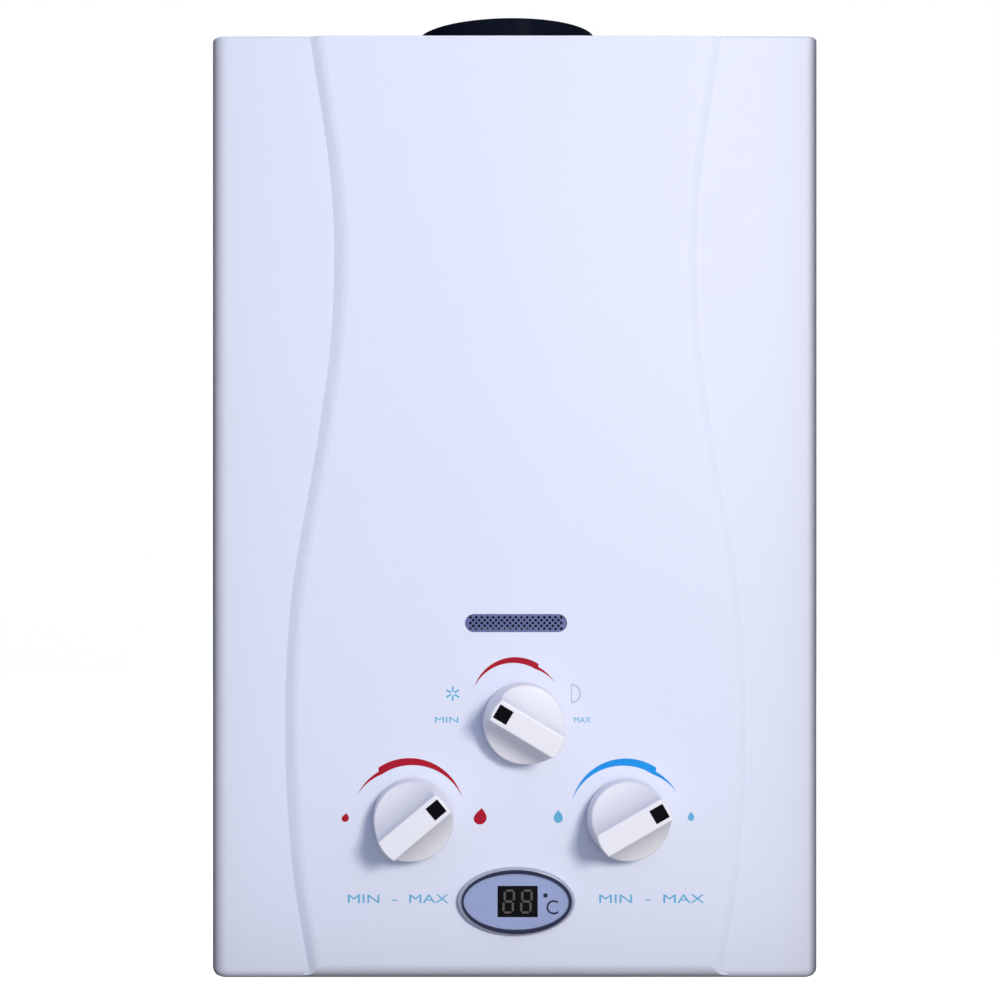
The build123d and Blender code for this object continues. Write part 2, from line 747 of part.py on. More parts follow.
# Gas valve: cast barrel along X with a spindle boss, an outlet on top and the inlet below
with BuildPart() as gas_valve_body:
    with BuildSketch(side_plane(gas_knob_x - gas_barrel_half)):
        Circle(gas_barrel_radius)
    extrude(amount=2 * gas_barrel_half)
    with BuildSketch(front_plane(gas_knob_x, valve_z, valve_y)):
        Circle(boss_radius)
    extrude(amount=gas_boss_front)
    with BuildSketch(Plane((gas_knob_x, valve_y, valve_z))):
        Circle(outlet_boss_radius)
    extrude(amount=gas_boss_high)
    with BuildSketch(Plane((gas_knob_x, valve_y, valve_z))):
        Circle(low_boss_radius)
    extrude(amount=-valve_boss_low)
    with BuildSketch(front_plane(gas_knob_x, valve_z, gas_boss_y)):
        Circle(spindle_radius + shaft_gap)
    extrude(amount=-spindle_seat, mode=Mode.SUBTRACT)
    with BuildSketch(side_plane(gas_end_x)):
        Circle(rod_radius + shaft_gap)
    extrude(amount=-(rod_seat + rod_travel + fit_gap), mode=Mode.SUBTRACT)
save(gas_valve_body.part, "gas_valve_body")

# Solenoid on the gas valve's left end
solenoid_x = gas_knob_x - gas_barrel_half
with BuildPart() as gas_solenoid:
    with BuildSketch(side_plane(solenoid_x)):
        Circle(solenoid_radius)
    extrude(amount=-solenoid_length)
    fillet(gas_solenoid.faces().sort_by(Axis.X)[0].edges(), radius=solenoid_cap / 2)
    with BuildSketch(side_plane(solenoid_x - solenoid_length)):
        Circle(solenoid_cap_radius)
    extrude(amount=-solenoid_cap)
save(gas_solenoid.part, "gas_solenoid")

# Water valve: flanged body, rubber diaphragm and cover, clamped by a ring of screws
with BuildPart() as water_valve_body:
    with BuildSketch(side_plane(water_face_x)):
        Circle(water_flange_radius)
    extrude(amount=water_flange)
    with BuildSketch(side_plane(water_face_x)):
        Circle(water_barrel_radius)
    extrude(amount=cold_x + water_end - water_face_x)
    with BuildSketch(front_plane(water_knob_x, valve_z, valve_y)):
        Circle(boss_radius)
    extrude(amount=water_boss_front)
    with BuildSketch(Plane((cold_x, valve_y, valve_z))):
        Circle(outlet_boss_radius)
    extrude(amount=outlet_boss_high)
    with BuildSketch(Plane((cold_x, valve_y, valve_z))):
        Circle(drain_boss_radius)
    extrude(amount=-drain_boss_low)
    with BuildSketch(Plane((cold_inlet_x, valve_y, valve_z))):
        Circle(low_boss_radius)
    extrude(amount=-valve_boss_low)
    with BuildSketch(front_plane(water_knob_x, valve_z, water_boss_y)):
        Circle(spindle_radius + shaft_gap)
    extrude(amount=-spindle_seat, mode=Mode.SUBTRACT)
    with BuildSketch(side_plane(water_face_x)):
        with PolarLocations(clamp_circle_radius, clamp_count, start_angle=180 / clamp_count):
            Circle(screw_hole)
    extrude(amount=water_flange, mode=Mode.SUBTRACT)
save(water_valve_body.part, "water_valve_body")

with BuildPart() as diaphragm:
    with BuildSketch(side_plane(diaphragm_x)):
        Circle(water_flange_radius)
        Circle(rod_radius + fit_gap, mode=Mode.SUBTRACT)
        with PolarLocations(clamp_circle_radius, clamp_count, start_angle=180 / clamp_count):
            Circle(screw_hole, mode=Mode.SUBTRACT)
    extrude(amount=diaphragm_thick)
save(diaphragm.part, "diaphragm")

with BuildPart() as diaphragm_cover:
    with BuildSketch(side_plane(clamp_face_x)):
        Circle(water_flange_radius)
    extrude(amount=diaphragm_cover_thick)
    with BuildSketch(side_plane(hub_end_x)):
        Circle(cover_hub_radius)
    extrude(amount=cover_hub_length)
    with BuildSketch(side_plane(hub_end_x)):
        Circle(rod_radius + shaft_gap)
    extrude(amount=cover_hub_length + diaphragm_cover_thick, mode=Mode.SUBTRACT)
    with BuildSketch(side_plane(clamp_face_x)):
        with PolarLocations(clamp_circle_radius, clamp_count, start_angle=180 / clamp_count):
            Circle(screw_hole)
    extrude(amount=diaphragm_cover_thick, mode=Mode.SUBTRACT)
save(diaphragm_cover.part, "diaphragm_cover")

clamp_seats = []
for place in PolarLocations(clamp_circle_radius, clamp_count, start_angle=180 / clamp_count).locations:
    clamp_origin = (clamp_face_x, valve_y + place.position.X, valve_z + place.position.Y)
    clamp_seats.append(Plane(origin=clamp_origin, x_dir=(0, 1, 0), z_dir=(-1, 0, 0)))
clamp_reach = diaphragm_cover_thick + diaphragm_thick + water_flange - fit_gap
diaphragm_screws = screws(clamp_seats, clamp_reach)
save(diaphragm_screws, "diaphragm_screws")

# Push rod from the diaphragm to the gas valve, with the collar that works the switch
rod_left_x = gas_end_x - rod_seat
with BuildPart() as push_rod:
    with BuildSketch(side_plane(rod_left_x)):
        Circle(rod_radius)
    extrude(amount=water_face_x - fit_gap - rod_left_x)
    with BuildSketch(side_plane(collar_x)):
        Circle(collar_radius)
    extrude(amount=collar_thick)
save(push_rod.part, "push_rod")

# Microswitch hung under its bracket, with ears and a pivot pin for the lever
switch_low_z = pivot_z + lever_eye_radius + switch_clear
switch_high_z = switch_low_z + switch_height
switch_right_x = pivot_x + lever_eye_radius + switch_front
lever_half = lever_width / 2
ear_inner = lever_half + fit_gap
with BuildPart() as microswitch:
    with BuildSketch(Plane.XY.offset(switch_low_z)):
        with Locations((switch_right_x, lever_y)):
            Rectangle(switch_length, switch_width, align=(Align.MAX, Align.CENTER))
    extrude(amount=switch_height)
    for side in (-1, 1):
        with BuildSketch(front_plane(pivot_x, pivot_z, lever_y + side * ear_inner)):
            Circle(switch_ear_width / 2)
            Rectangle(switch_ear_width, switch_low_z - pivot_z, align=(Align.CENTER, Align.MIN))
        extrude(amount=-side * switch_ear)
    with BuildSketch(front_plane(pivot_x, pivot_z, lever_y + ear_inner)):
        Circle(pivot_radius)
    extrude(amount=2 * ear_inner)
save(microswitch.part, "microswitch")

with BuildPart() as switch_lever:
    with BuildSketch(front_plane(pivot_x, pivot_z, lever_y + lever_half)):
        Circle(lever_eye_radius)
        Rectangle(lever_thick, lever_reach, align=(Align.CENTER, Align.MAX))
        with Locations((lever_thick / 2, -lever_reach)):
            Circle(nose_radius)
        Circle(pivot_radius + shaft_gap, mode=Mode.SUBTRACT)
    extrude(amount=lever_width)
save(switch_lever.part, "switch_lever")

with BuildPart() as switch_bracket:
    with BuildSketch(front_plane(gas_end_x, switch_high_z, lever_y + switch_width / 2)):
        with BuildLine():
            Polyline(
                (0, bracket_sheet),
                (switch_right_x - gas_end_x, bracket_sheet),
                (switch_right_x - gas_end_x, 0),
                (bracket_sheet, 0),
                (bracket_sheet, valve_z + gas_barrel_radius - bracket_hang - switch_high_z),
                (0, valve_z + gas_barrel_radius - bracket_hang - switch_high_z),
                close=True,
            )
        make_face()
    extrude(amount=switch_width)
save(switch_bracket.part, "switch_bracket")


def nipple(name, x, stem_top_z):
    """Connection nipple: stem, hexagon on the shelf, neck through it and a plain-turned thread below."""
    with BuildPart() as piece:
        with BuildSketch(Plane((x, valve_y, shelf_top_z))):
            Circle(nipple_stem_radius)
        extrude(amount=stem_top_z - shelf_top_z)
        with BuildSketch(Plane((x, valve_y, shelf_top_z))):
            RegularPolygon(nipple_hex / 2, side_count=6, major_radius=False)
        extrude(amount=nipple_hex_height)
        with BuildSketch(Plane((x, valve_y, thread_top_z))):
            Circle(nipple_neck_radius)
        extrude(amount=shelf_top_z - thread_top_z)
        with BuildSketch(Plane((x, valve_y, thread_top_z))):
            Circle(thread_radius)
        extrude(amount=-thread_length)
        with BuildSketch(Plane((x, valve_y, thread_top_z - thread_length))):
            Circle(tube_radius - tube_wall)
        extrude(amount=stem_top_z - thread_top_z + thread_length, mode=Mode.SUBTRACT)
    save(piece.part, name)


hot_union_z = bottom_z + hot_union_height
nipple("gas_nipple", gas_knob_x, valve_z - valve_boss_low)
nipple("cold_nipple", cold_inlet_x, valve_z - valve_boss_low)
nipple("hot_nipple", hot_x, hot_union_z)

# Drain plug with a fluted head that hangs through the shelf
drain_head_low_z = bottom_z - drain_drop
with BuildPart() as drain_plug:
    with BuildSketch(Plane((cold_x, valve_y, drain_head_low_z))):
        Circle(drain_head_radius)
        with PolarLocations(drain_head_radius, drain_flute_count):
            Circle(drain_flute, mode=Mode.SUBTRACT)
    extrude(amount=drain_head_height)
    with BuildSketch(Plane((cold_x, valve_y, drain_head_low_z + drain_head_height))):
        Circle(drain_stem_radius)
    extrude(until=None, amount=valve_z - drain_boss_low - drain_head_low_z - drain_head_height)
save(drain_plug.part, "drain_plug")

# Burner frame: thin tray round the bars, with nozzle holes, a sight slot and electrode holes
spark_z = bar_high_z + spark_rise
probe_z = bar_high_z + probe_rise
with BuildPart() as burner_frame:
    with BuildSketch(Plane((0, exchanger_y, frame_low_z))):
        RectangleRounded(frame_width, frame_depth, frame_corner)
        RectangleRounded(
            frame_width - 2 * sheet, frame_depth - 2 * sheet, frame_corner - sheet, mode=Mode.SUBTRACT
        )
    extrude(amount=frame_height)
    with BuildSketch(front_plane(0, nozzle_z, frame_front_y + overrun)):
        with GridLocations(bar_pitch, 0, bar_count, 1):
            Circle(venturi_radius)
        with Locations((0, window_z - nozzle_z)):
            SlotOverall(window_length, window_width)
        with Locations((spark_x, spark_z - nozzle_z), (probe_x, probe_z - nozzle_z)):
            Circle(electrode_radius + fit_gap)
    extrude(amount=2 * overrun, mode=Mode.SUBTRACT)
save(burner_frame.part, "burner_frame")

# Burner bars: slotted heads over a venturi tube
bar_length = shell_depth
with BuildPart() as burner_bars:
    for bar in range(bar_count):
        bar_x = (bar - (bar_count - 1) / 2) * bar_pitch
        bar_front = front_plane(bar_x, nozzle_z, exchanger_y - bar_length / 2)
        with BuildSketch(bar_front):
            with Locations((0, bar_top)):
                Rectangle(bar_width, bar_head, align=(Align.CENTER, Align.MAX))
        extrude(amount=-bar_length)
        with BuildSketch(bar_front):
            Rectangle(bar_web, bar_top - bar_head, align=(Align.CENTER, Align.MIN))
            Circle(venturi_radius)
        extrude(amount=-bar_length * venturi_share)
        with BuildSketch(bar_front):
            Circle(venturi_bore)
        extrude(amount=-bar_length * venturi_share / 2, mode=Mode.SUBTRACT)
        with BuildSketch(Plane((bar_x, exchanger_y, bar_high_z))):
            with GridLocations(0, bar_length / (port_count + 1), 1, port_count):
                Rectangle(bar_width + fit_gap, port_width)
        extrude(amount=-port_depth, mode=Mode.SUBTRACT)
save(burner_bars.part, "burner_bars")

# Gas manifold with feet on the frame, a bore for the season spindle and the nozzles
with BuildPart() as gas_manifold:
    with BuildSketch(front_plane(0, nozzle_z, manifold_rear_y)):
        RectangleRounded(2 * manifold_half, manifold_height, manifold_edge)
    extrude(amount=manifold_depth)
    with BuildSketch(front_plane(0, nozzle_z, manifold_rear_y)):
        with GridLocations(2 * manifold_half - manifold_foot, 0, 2, 1):
            Rectangle(manifold_foot, manifold_height)
    extrude(amount=manifold_rear_y - frame_front_y)
    with BuildSketch(front_plane(season_knob_x, nozzle_z, manifold_front_y)):
        Circle(spindle_radius + shaft_gap)
    extrude(amount=-manifold_seat, mode=Mode.SUBTRACT)
save(gas_manifold.part, "gas_manifold")

with BuildPart() as gas_nozzles:
    with BuildSketch(front_plane(0, nozzle_z, manifold_rear_y)):
        with GridLocations(bar_pitch, 0, bar_count, 1):
            RegularPolygon(nozzle_hex / 2, side_count=6, major_radius=False)
    extrude(amount=-nozzle_base)
    with BuildSketch(front_plane(0, nozzle_z, manifold_rear_y + nozzle_base)):
        with GridLocations(bar_pitch, 0, bar_count, 1):
            Circle(nozzle_tip_radius)
    extrude(amount=-nozzle_tip)
save(gas_nozzles.part, "gas_nozzles")

riser_low_z = valve_z + gas_boss_high
riser_turn_z = riser_low_z + riser_rise
manifold_low_z = nozzle_z - manifold_height / 2
riser_points = (
    (gas_knob_x, valve_y, riser_low_z),
    (gas_knob_x, valve_y, riser_turn_z),
    (gas_knob_x, manifold_y, riser_turn_z),
    (gas_knob_x, manifold_y, manifold_low_z),
)
gas_riser = pipe(riser_points, riser_bend, riser_radius, riser_radius - riser_wall)
save(gas_riser, "gas_riser")


def electrode(name, x, z):
    """Ceramic rod with a seating collar and a wire tip over the bars."""
    seat_y = frame_front_y - bracket_sheet
    with BuildPart() as piece:
        with BuildSketch(front_plane(x, z, seat_y)):
            Circle(electrode_collar_radius)
        extrude(amount=electrode_collar)
        with BuildSketch(front_plane(x, z, seat_y - electrode_collar - electrode_tail)):
            Circle(electrode_radius)
        extrude(amount=-(electrode_tail + electrode_collar + bracket_sheet + electrode_nose))
        with BuildSketch(front_plane(x, z, frame_front_y + electrode_nose)):
            Circle(electrode_wire_radius)
        extrude(amount=-electrode_wire)
    save(piece.part, name)


electrode("spark_electrode", spark_x, spark_z)
electrode("flame_probe", probe_x, probe_z)
with BuildPart() as electrode_bracket:
    with BuildSketch(front_plane((spark_x + probe_x) / 2, (spark_z + probe_z) / 2, frame_front_y)):
        bracket_length = probe_x - spark_x + 2 * electrode_margin
        bracket_width = spark_z - probe_z + 2 * electrode_margin
        Rectangle(bracket_length, bracket_width)
        with Locations(
            ((spark_x - probe_x) / 2, (spark_z - probe_z) / 2),
            ((probe_x - spark_x) / 2, (probe_z - spark_z) / 2),
        ):
            Circle(electrode_radius + fit_gap, mode=Mode.SUBTRACT)
    extrude(amount=bracket_sheet)
save(electrode_bracket.part, "electrode_bracket")

# Heat exchanger: copper shell, fins on three tubes, and a coil round the fire chamber
tube_ys = [exchanger_y + step * tube_pitch for step in (1, 0, -1)]
with BuildPart() as exchanger_shell:
    with BuildSketch(Plane((0, exchanger_y, shell_low_z))):
        RectangleRounded(shell_width, shell_depth, shell_corner)
        RectangleRounded(
            shell_width - 2 * sheet, shell_depth - 2 * sheet, shell_corner - sheet, mode=Mode.SUBTRACT
        )
    extrude(amount=shell_height)
    with BuildSketch(side_plane(-shell_width / 2 - overrun, exchanger_y, tube_z)):
        with GridLocations(tube_pitch, 0, 3, 1):
            Circle(tube_radius + shaft_gap)
    extrude(amount=shell_width + 2 * overrun, mode=Mode.SUBTRACT)
save(exchanger_shell.part, "exchanger_shell")

fin_pitch = (shell_width - 2 * shell_corner) / fin_count
with BuildPart() as exchanger_fins:
    for fin in range(fin_count):
        fin_x = (fin - (fin_count - 1) / 2) * fin_pitch
        with BuildSketch(side_plane(fin_x, exchanger_y, tube_z)):
            Rectangle(shell_depth - 2 * (sheet + fin_side_gap), fin_height)
            with GridLocations(tube_pitch, 0, 3, 1):
                Circle(tube_radius + shaft_gap, mode=Mode.SUBTRACT)
        extrude(amount=fin_thick)
save(exchanger_fins.part, "exchanger_fins")

tube_bore = tube_radius - tube_wall
bend_x = shell_width / 2 + tube_overhang
exchanger_points = (
    (cold_x, tube_ys[0], link_z),
    (cold_x, tube_ys[0], tube_z),
    (-bend_x, tube_ys[0], tube_z),
    (-bend_x, tube_ys[1], tube_z),
    (bend_x, tube_ys[1], tube_z),
    (bend_x, tube_ys[2], tube_z),
    (hot_x, tube_ys[2], tube_z),
    (hot_x, tube_ys[2], link_z),
)
exchanger_bends = [tube_bend] + [return_bend] * 4 + [tube_bend]
exchanger_tubes = pipe(exchanger_points, exchanger_bends, tube_radius, tube_bore)
save(exchanger_tubes, "exchanger_tubes")

coil_corners = (
    (coil_x, exchanger_y - coil_reach),
    (-coil_x, exchanger_y - coil_reach),
    (-coil_x, exchanger_y + coil_reach),
    (coil_x, exchanger_y + coil_reach),
)
coil_low_z = shell_low_z + coil_low
coil_points = [(cold_x, valve_y, union_z), (cold_x, valve_y, coil_low_z)]
for step in range(len(coil_corners) * coil_turns):
    corner_x, corner_y = coil_corners[step % len(coil_corners)]
    coil_points.append((corner_x, corner_y, coil_low_z + (step + 1) * coil_pitch / len(coil_corners)))
coil_exit_z = coil_low_z + coil_turns * coil_pitch + cold_shift
coil_points.append((cold_x, tube_ys[0], coil_exit_z))
coil_points.append((cold_x, tube_ys[0], link_z))
coil_bends = [tube_bend] + [coil_bend] * (len(coil_corners) * coil_turns) + [tube_bend]
chamber_coil = pipe(coil_points, coil_bends, tube_radius, tube_bore)
save(chamber_coil, "chamber_coil")

cold_low_z = valve_z + outlet_boss_high
with BuildPart() as cold_pipe:
    with BuildSketch(Plane((cold_x, valve_y, cold_low_z))):
        Circle(tube_radius)
        Circle(tube_bore, mode=Mode.SUBTRACT)
    extrude(amount=union_z - cold_low_z)
save(cold_pipe.part, "cold_pipe")

hot_points = (
    (hot_x, tube_ys[2], link_z),
    (hot_x, tube_ys[2], shell_low_z + hot_high_share * shell_height),
    (hot_x, valve_y, shell_low_z + hot_low_share * shell_height),
    (hot_x, valve_y, hot_union_z),
)
hot_pipe = pipe(hot_points, hot_bend, tube_radius, tube_bore)
save(hot_pipe, "hot_pipe")

with BuildPart() as union_nuts:
    for nut_x, nut_low_z in ((cold_x, union_z - union_height / 2), (hot_x, hot_union_z)):
        with BuildSketch(Plane((nut_x, valve_y, nut_low_z))):
            RegularPolygon(union_hex / 2, side_count=6, major_radius=False)
            Circle(tube_radius + shaft_gap, mode=Mode.SUBTRACT)
        extrude(amount=union_height)
save(union_nuts.part, "union_nuts")

# Hangers that carry the exchanger on the back plate
with BuildPart() as exchanger_brackets:
    for side in (-1, 1):
        with BuildSketch(Plane((0, 0, hanger_z - hanger_height / 2))):
            with BuildLine():
                Polyline(
                    (side * hanger_x, -sheet),
                    (side * (hanger_x + hanger_foot), -sheet),
                    (side * (hanger_x + hanger_foot), -sheet - bracket_sheet),
                    (side * (hanger_x + bracket_sheet), -sheet - bracket_sheet),
                    (side * (hanger_x + bracket_sheet), -sheet - hanger_arm),
                    (side * hanger_x, -sheet - hanger_arm),
                    close=True,
                )
            make_face()
        extrude(amount=hanger_height)
    for side in (-1, 1):
        with BuildSketch(front_plane(side * (hanger_x + hanger_foot / 2), hanger_z)):
            Circle(screw_hole)
        extrude(amount=overrun, mode=Mode.SUBTRACT)
save(exchanger_brackets.part, "exchanger_brackets")

# Overheat switch on the front of the shell
with BuildPart() as overheat_switch:
    with BuildSketch(front_plane(overheat_x, shell_high_z - overheat_drop, shell_front_y)):
        Circle(overheat_radius)
    extrude(amount=overheat_depth)
    with BuildSketch(front_plane(overheat_x, shell_high_z - overheat_drop, shell_front_y - overheat_depth)):
        Circle(overheat_stud_radius)
    extrude(amount=overheat_stud)
save(overheat_switch.part, "overheat_switch")

# Flue hood: sheet transition from the exchanger to the collar, hung on the back plate by its rear tab
hood_top_depth = hood_top_front - hood_top_rear
hood_top_y = -(hood_top_front + hood_top_rear) / 2


def hood_form(inset):
    """Closed form of the hood, moved inwards by inset."""
    with BuildPart() as form:
        with BuildSketch(Plane((0, exchanger_y, shell_high_z - inset))):
            Rectangle(frame_width - 2 * inset, frame_depth - 2 * inset)
        with BuildSketch(Plane((0, hood_top_y, hood_top_z - inset))):
            Rectangle(hood_top_width - 2 * inset, hood_top_depth - 2 * inset)
        loft(ruled=True)
        with BuildSketch(Plane((0, exchanger_y, hood_low_z - inset))):
            Rectangle(frame_width - 2 * inset, frame_depth - 2 * inset)
        extrude(amount=hood_lap)
    return form.part


outer_hood = hood_form(0)
inner_hood = hood_form(sheet)
with BuildPart() as flue_hood:
    add(outer_hood)
    add(inner_hood, mode=Mode.SUBTRACT)
    with BuildSketch(Plane((0, -flue_depth, hood_top_z - overrun))):
        Circle(flue_radius - sheet)
        with PolarLocations(flue_screw_radius, flue_screw_count, start_angle=180 / flue_screw_count):
            Circle(screw_hole)
    extrude(amount=2 * overrun, mode=Mode.SUBTRACT)
    with BuildSketch(Plane((0, -sheet, hood_top_z - sheet))):
        Rectangle(hood_top_width, hood_top_rear, align=(Align.CENTER, Align.MAX))
    extrude(amount=sheet)
    with BuildSketch(front_plane(0, hood_top_z - sheet, -sheet)):
        Rectangle(2 * hood_tab_width + hood_tab, hood_tab, align=(Align.CENTER, Align.MIN))
    extrude(amount=sheet)
    with BuildSketch(front_plane(0, hood_tab_z)):
        with GridLocations(2 * hood_tab_width, 0, 2, 1):
            Circle(screw_hole)
    extrude(amount=2 * sheet + fit_gap, mode=Mode.SUBTRACT)
save(flue_hood.part, "flue_hood")

# Flue collar with its flange on the hood
with BuildPart() as flue_collar:
    with BuildSketch(Plane((0, -flue_depth, hood_top_z))):
        RectangleRounded(flue_flange_side, flue_flange_side, flue_flange_corner)
        Circle(flue_radius - sheet, mode=Mode.SUBTRACT)
        with PolarLocations(flue_screw_radius, flue_screw_count, start_angle=180 / flue_screw_count):
            Circle(screw_hole, mode=Mode.SUBTRACT)
    extrude(amount=sheet)
    with BuildSketch(Plane((0, -flue_depth, hood_top_z))):
        Circle(flue_radius)
        Circle(flue_radius - sheet, mode=Mode.SUBTRACT)
    extrude(amount=flue_height)
save(flue_collar.part, "flue_collar")

collar_screw_seats = []
collar_screw_start = 180 / flue_screw_count
for place in PolarLocations(flue_screw_radius, flue_screw_count, start_angle=collar_screw_start).locations:
    screw_origin = (place.position.X, place.position.Y - flue_depth, hood_top_z + sheet)
    collar_screw_seats.append(Plane(origin=screw_origin))
collar_screws = screws(collar_screw_seats, cover_screw_reach)
save(collar_screws, "collar_screws")

# Control box on the back plate, with two screw ears
with BuildPart() as control_box:
    with BuildSketch(front_plane(control_x, (control_low_z + control_high_z) / 2, -sheet)):
        RectangleRounded(control_width, control_height, control_round)
    extrude(amount=control_depth)
    fillet(control_box.faces().sort_by(Axis.Y)[0].edges(), radius=control_round / 2)
    with BuildSketch(front_plane(control_x, (control_low_z + control_high_z) / 2, -sheet)):
        Rectangle(control_width - 2 * control_round, control_height + 2 * control_ear)
        with GridLocations(0, control_height + control_ear, 1, 2):
            Circle(screw_hole, mode=Mode.SUBTRACT)
    extrude(amount=control_ear_thick)
save(control_box.part, "control_box")

# Battery box in front of the shelf's lip, open below, with two cells and a swinging lid
battery_depth = 2 * (cell_radius + cell_play + battery_wall)
battery_y = -shelf_depth - battery_depth / 2
lid_low_z = bottom_z + lid_lift
lid_high_z = lid_low_z + lid_thick
battery_low_z = lid_high_z + fit_gap
cell_low_z = battery_low_z + contact_high
battery_high_z = cell_low_z + cell_length + cell_nub + battery_top_gap + battery_wall
lid_pin_y = -shelf_depth - lid_ear_width / 2
lid_pin_z = (lid_low_z + lid_high_z) / 2
with BuildPart() as battery_box:
    with BuildSketch(Plane((battery_x, battery_y, battery_low_z))):
        Rectangle(battery_length, battery_depth)
    extrude(amount=battery_high_z - battery_low_z)
    fillet(battery_box.faces().sort_by(Axis.Z)[-1].edges(), radius=battery_wall / 2)
    with BuildSketch(Plane((battery_x, battery_y, battery_low_z))):
        Rectangle(battery_length - 2 * battery_wall, battery_depth - 2 * battery_wall)
    extrude(amount=battery_high_z - battery_low_z - battery_wall, mode=Mode.SUBTRACT)
    for side in (-1, 1):
        with BuildSketch(side_plane(battery_x + side * battery_length / 2, lid_pin_y, lid_pin_z)):
            Circle(lid_ear_width / 2)
            Rectangle(lid_ear_width, battery_low_z - lid_pin_z, align=(Align.CENTER, Align.MIN))
            Circle(lid_pin_radius + shaft_gap, mode=Mode.SUBTRACT)
        extrude(amount=-side * lid_ear)
    with BuildSketch(Plane.XZ.offset(shelf_depth)):
        with Locations((battery_x, battery_screw_z)):
            with GridLocations(2 * battery_screw_x, 0, 2, 1):
                Circle(screw_hole)
    extrude(amount=battery_wall, mode=Mode.SUBTRACT)
save(battery_box.part, "battery_box")

with BuildPart() as battery_cells:
    for side in (-1, 1):
        cell_x = battery_x + side * cell_pitch / 2
        with BuildSketch(Plane((cell_x, battery_y, cell_low_z))):
            Circle(cell_radius)
        extrude(amount=cell_length)
        with BuildSketch(Plane((cell_x, battery_y, cell_low_z + cell_length))):
            Circle(cell_nub_radius)
        extrude(amount=cell_nub)
save(battery_cells.part, "battery_cells")

lid_length = battery_length - 2 * (lid_ear + fit_gap)
lid_front_y = -shelf_depth - battery_depth
with BuildPart() as battery_lid:
    with BuildSketch(Plane((battery_x, lid_pin_y, lid_low_z))):
        Rectangle(lid_length, lid_pin_y - lid_front_y, align=(Align.CENTER, Align.MAX))
        with Locations((0, lid_front_y - lid_pin_y)):
            Rectangle(lid_tab_width, lid_tab, align=(Align.CENTER, Align.MAX))
    extrude(amount=lid_thick)
    with BuildSketch(side_plane(battery_x - lid_length / 2, lid_pin_y, lid_pin_z)):
        Circle(lid_thick / 2)
    extrude(amount=lid_length)
    with BuildSketch(side_plane(battery_x - battery_length / 2, lid_pin_y, lid_pin_z)):
        Circle(lid_pin_radius)
    extrude(amount=battery_length)
    for side in (-1, 1):
        with BuildSketch(Plane((battery_x + side * cell_pitch / 2, battery_y, lid_high_z))):
            Circle(cell_nub_radius)
        extrude(amount=contact_high)
save(battery_lid.part, "battery_lid")
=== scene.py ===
"""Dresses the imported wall-hung gas water heater: finishes, creases, print, display digits and studio."""

import bisect
import math

import bmesh
import bpy
from bpy.props import FloatProperty, FloatVectorProperty, PointerProperty
from mathutils import Matrix, Vector


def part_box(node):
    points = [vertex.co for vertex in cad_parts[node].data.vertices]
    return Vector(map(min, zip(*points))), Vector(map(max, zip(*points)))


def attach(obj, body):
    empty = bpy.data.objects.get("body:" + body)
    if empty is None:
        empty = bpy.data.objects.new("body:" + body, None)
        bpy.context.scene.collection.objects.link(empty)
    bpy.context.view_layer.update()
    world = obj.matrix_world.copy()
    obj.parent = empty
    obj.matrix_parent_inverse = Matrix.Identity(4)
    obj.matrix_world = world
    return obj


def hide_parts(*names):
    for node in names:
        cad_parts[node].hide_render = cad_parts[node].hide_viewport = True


bl_info = {
    "name": "Wall Water Heater",
    "version": (1, 0, 0),
    "blender": (4, 5, 0),
    "location": "View3D > Sidebar > Heater",
    "description": "Finishes, printed scales and display of a wall-hung gas water heater",
    "category": "Object",
}

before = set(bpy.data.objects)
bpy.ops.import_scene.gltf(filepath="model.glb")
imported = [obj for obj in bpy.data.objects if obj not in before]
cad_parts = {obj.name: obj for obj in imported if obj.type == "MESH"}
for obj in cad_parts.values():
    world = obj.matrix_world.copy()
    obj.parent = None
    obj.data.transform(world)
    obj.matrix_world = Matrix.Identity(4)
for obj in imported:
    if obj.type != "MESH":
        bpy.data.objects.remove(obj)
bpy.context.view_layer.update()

QUARTER_TURN = math.radians(90)
WELD = 0.000001
LEVEL_NORMAL = 0.9999  # a normal with this much along one axis is along it

# Materials: relief and coat that all finishes share
RELIEF_STRENGTH = 0.35
COAT_ROUGHNESS = 0.06

# Display frame: colours of the painted shade on its dark inner band and the painted highlight on its pale
# outer band, which stand in for the plated rim's reflections, and where one goes over into the other
RIM_PAINTED_SHADE = (0.012, 0.015, 0.05)
RIM_PAINTED_HIGHLIGHT = (0.42, 0.45, 0.56)
RIM_SHARES = (0.935, 0.965)

# Packed cover: levels of the raised field, the side fields and the creases' foot, and the creases' width
FIELD_FRONT = -0.1297
SIDE_FRONT = -0.1275
CREASE_FOOT = -0.1271
CREASE_BAND = 0.0095
# Points before this level belong to the front, and above this height the raised field has no openings
FRONT_ZONE = -0.1225
BARE_HEIGHT = 0.17
LEVEL_PLAY = 0.00001
# A point on a crease's slope faces the front, leans sideways and lies between these shares of the rise
SLOPE_FACING = -0.5
SLOPE_LEAN = 0.05
SLOPE_SHARES = (0.1, 0.8)
# Wanted creases: heights on the panel and shares of its half width
CREASE_HEIGHTS = (-0.225, -0.170, -0.104, -0.040, 0.030, 0.090, 0.150, 0.225)
CREASE_SHARES = (0.662, 0.722, 0.745, 0.722, 0.640, 0.589, 0.591, 0.664)
# A moved crease takes the fields beside it along as far as this
INNER_REACH = 0.020
OUTER_STOP = 0.137
LEAN_STEP = 0.0015

# Print: gap under the ink and its thickness
PRINT_LIFT = 0.00003
PRINT_THICK = 0.00006

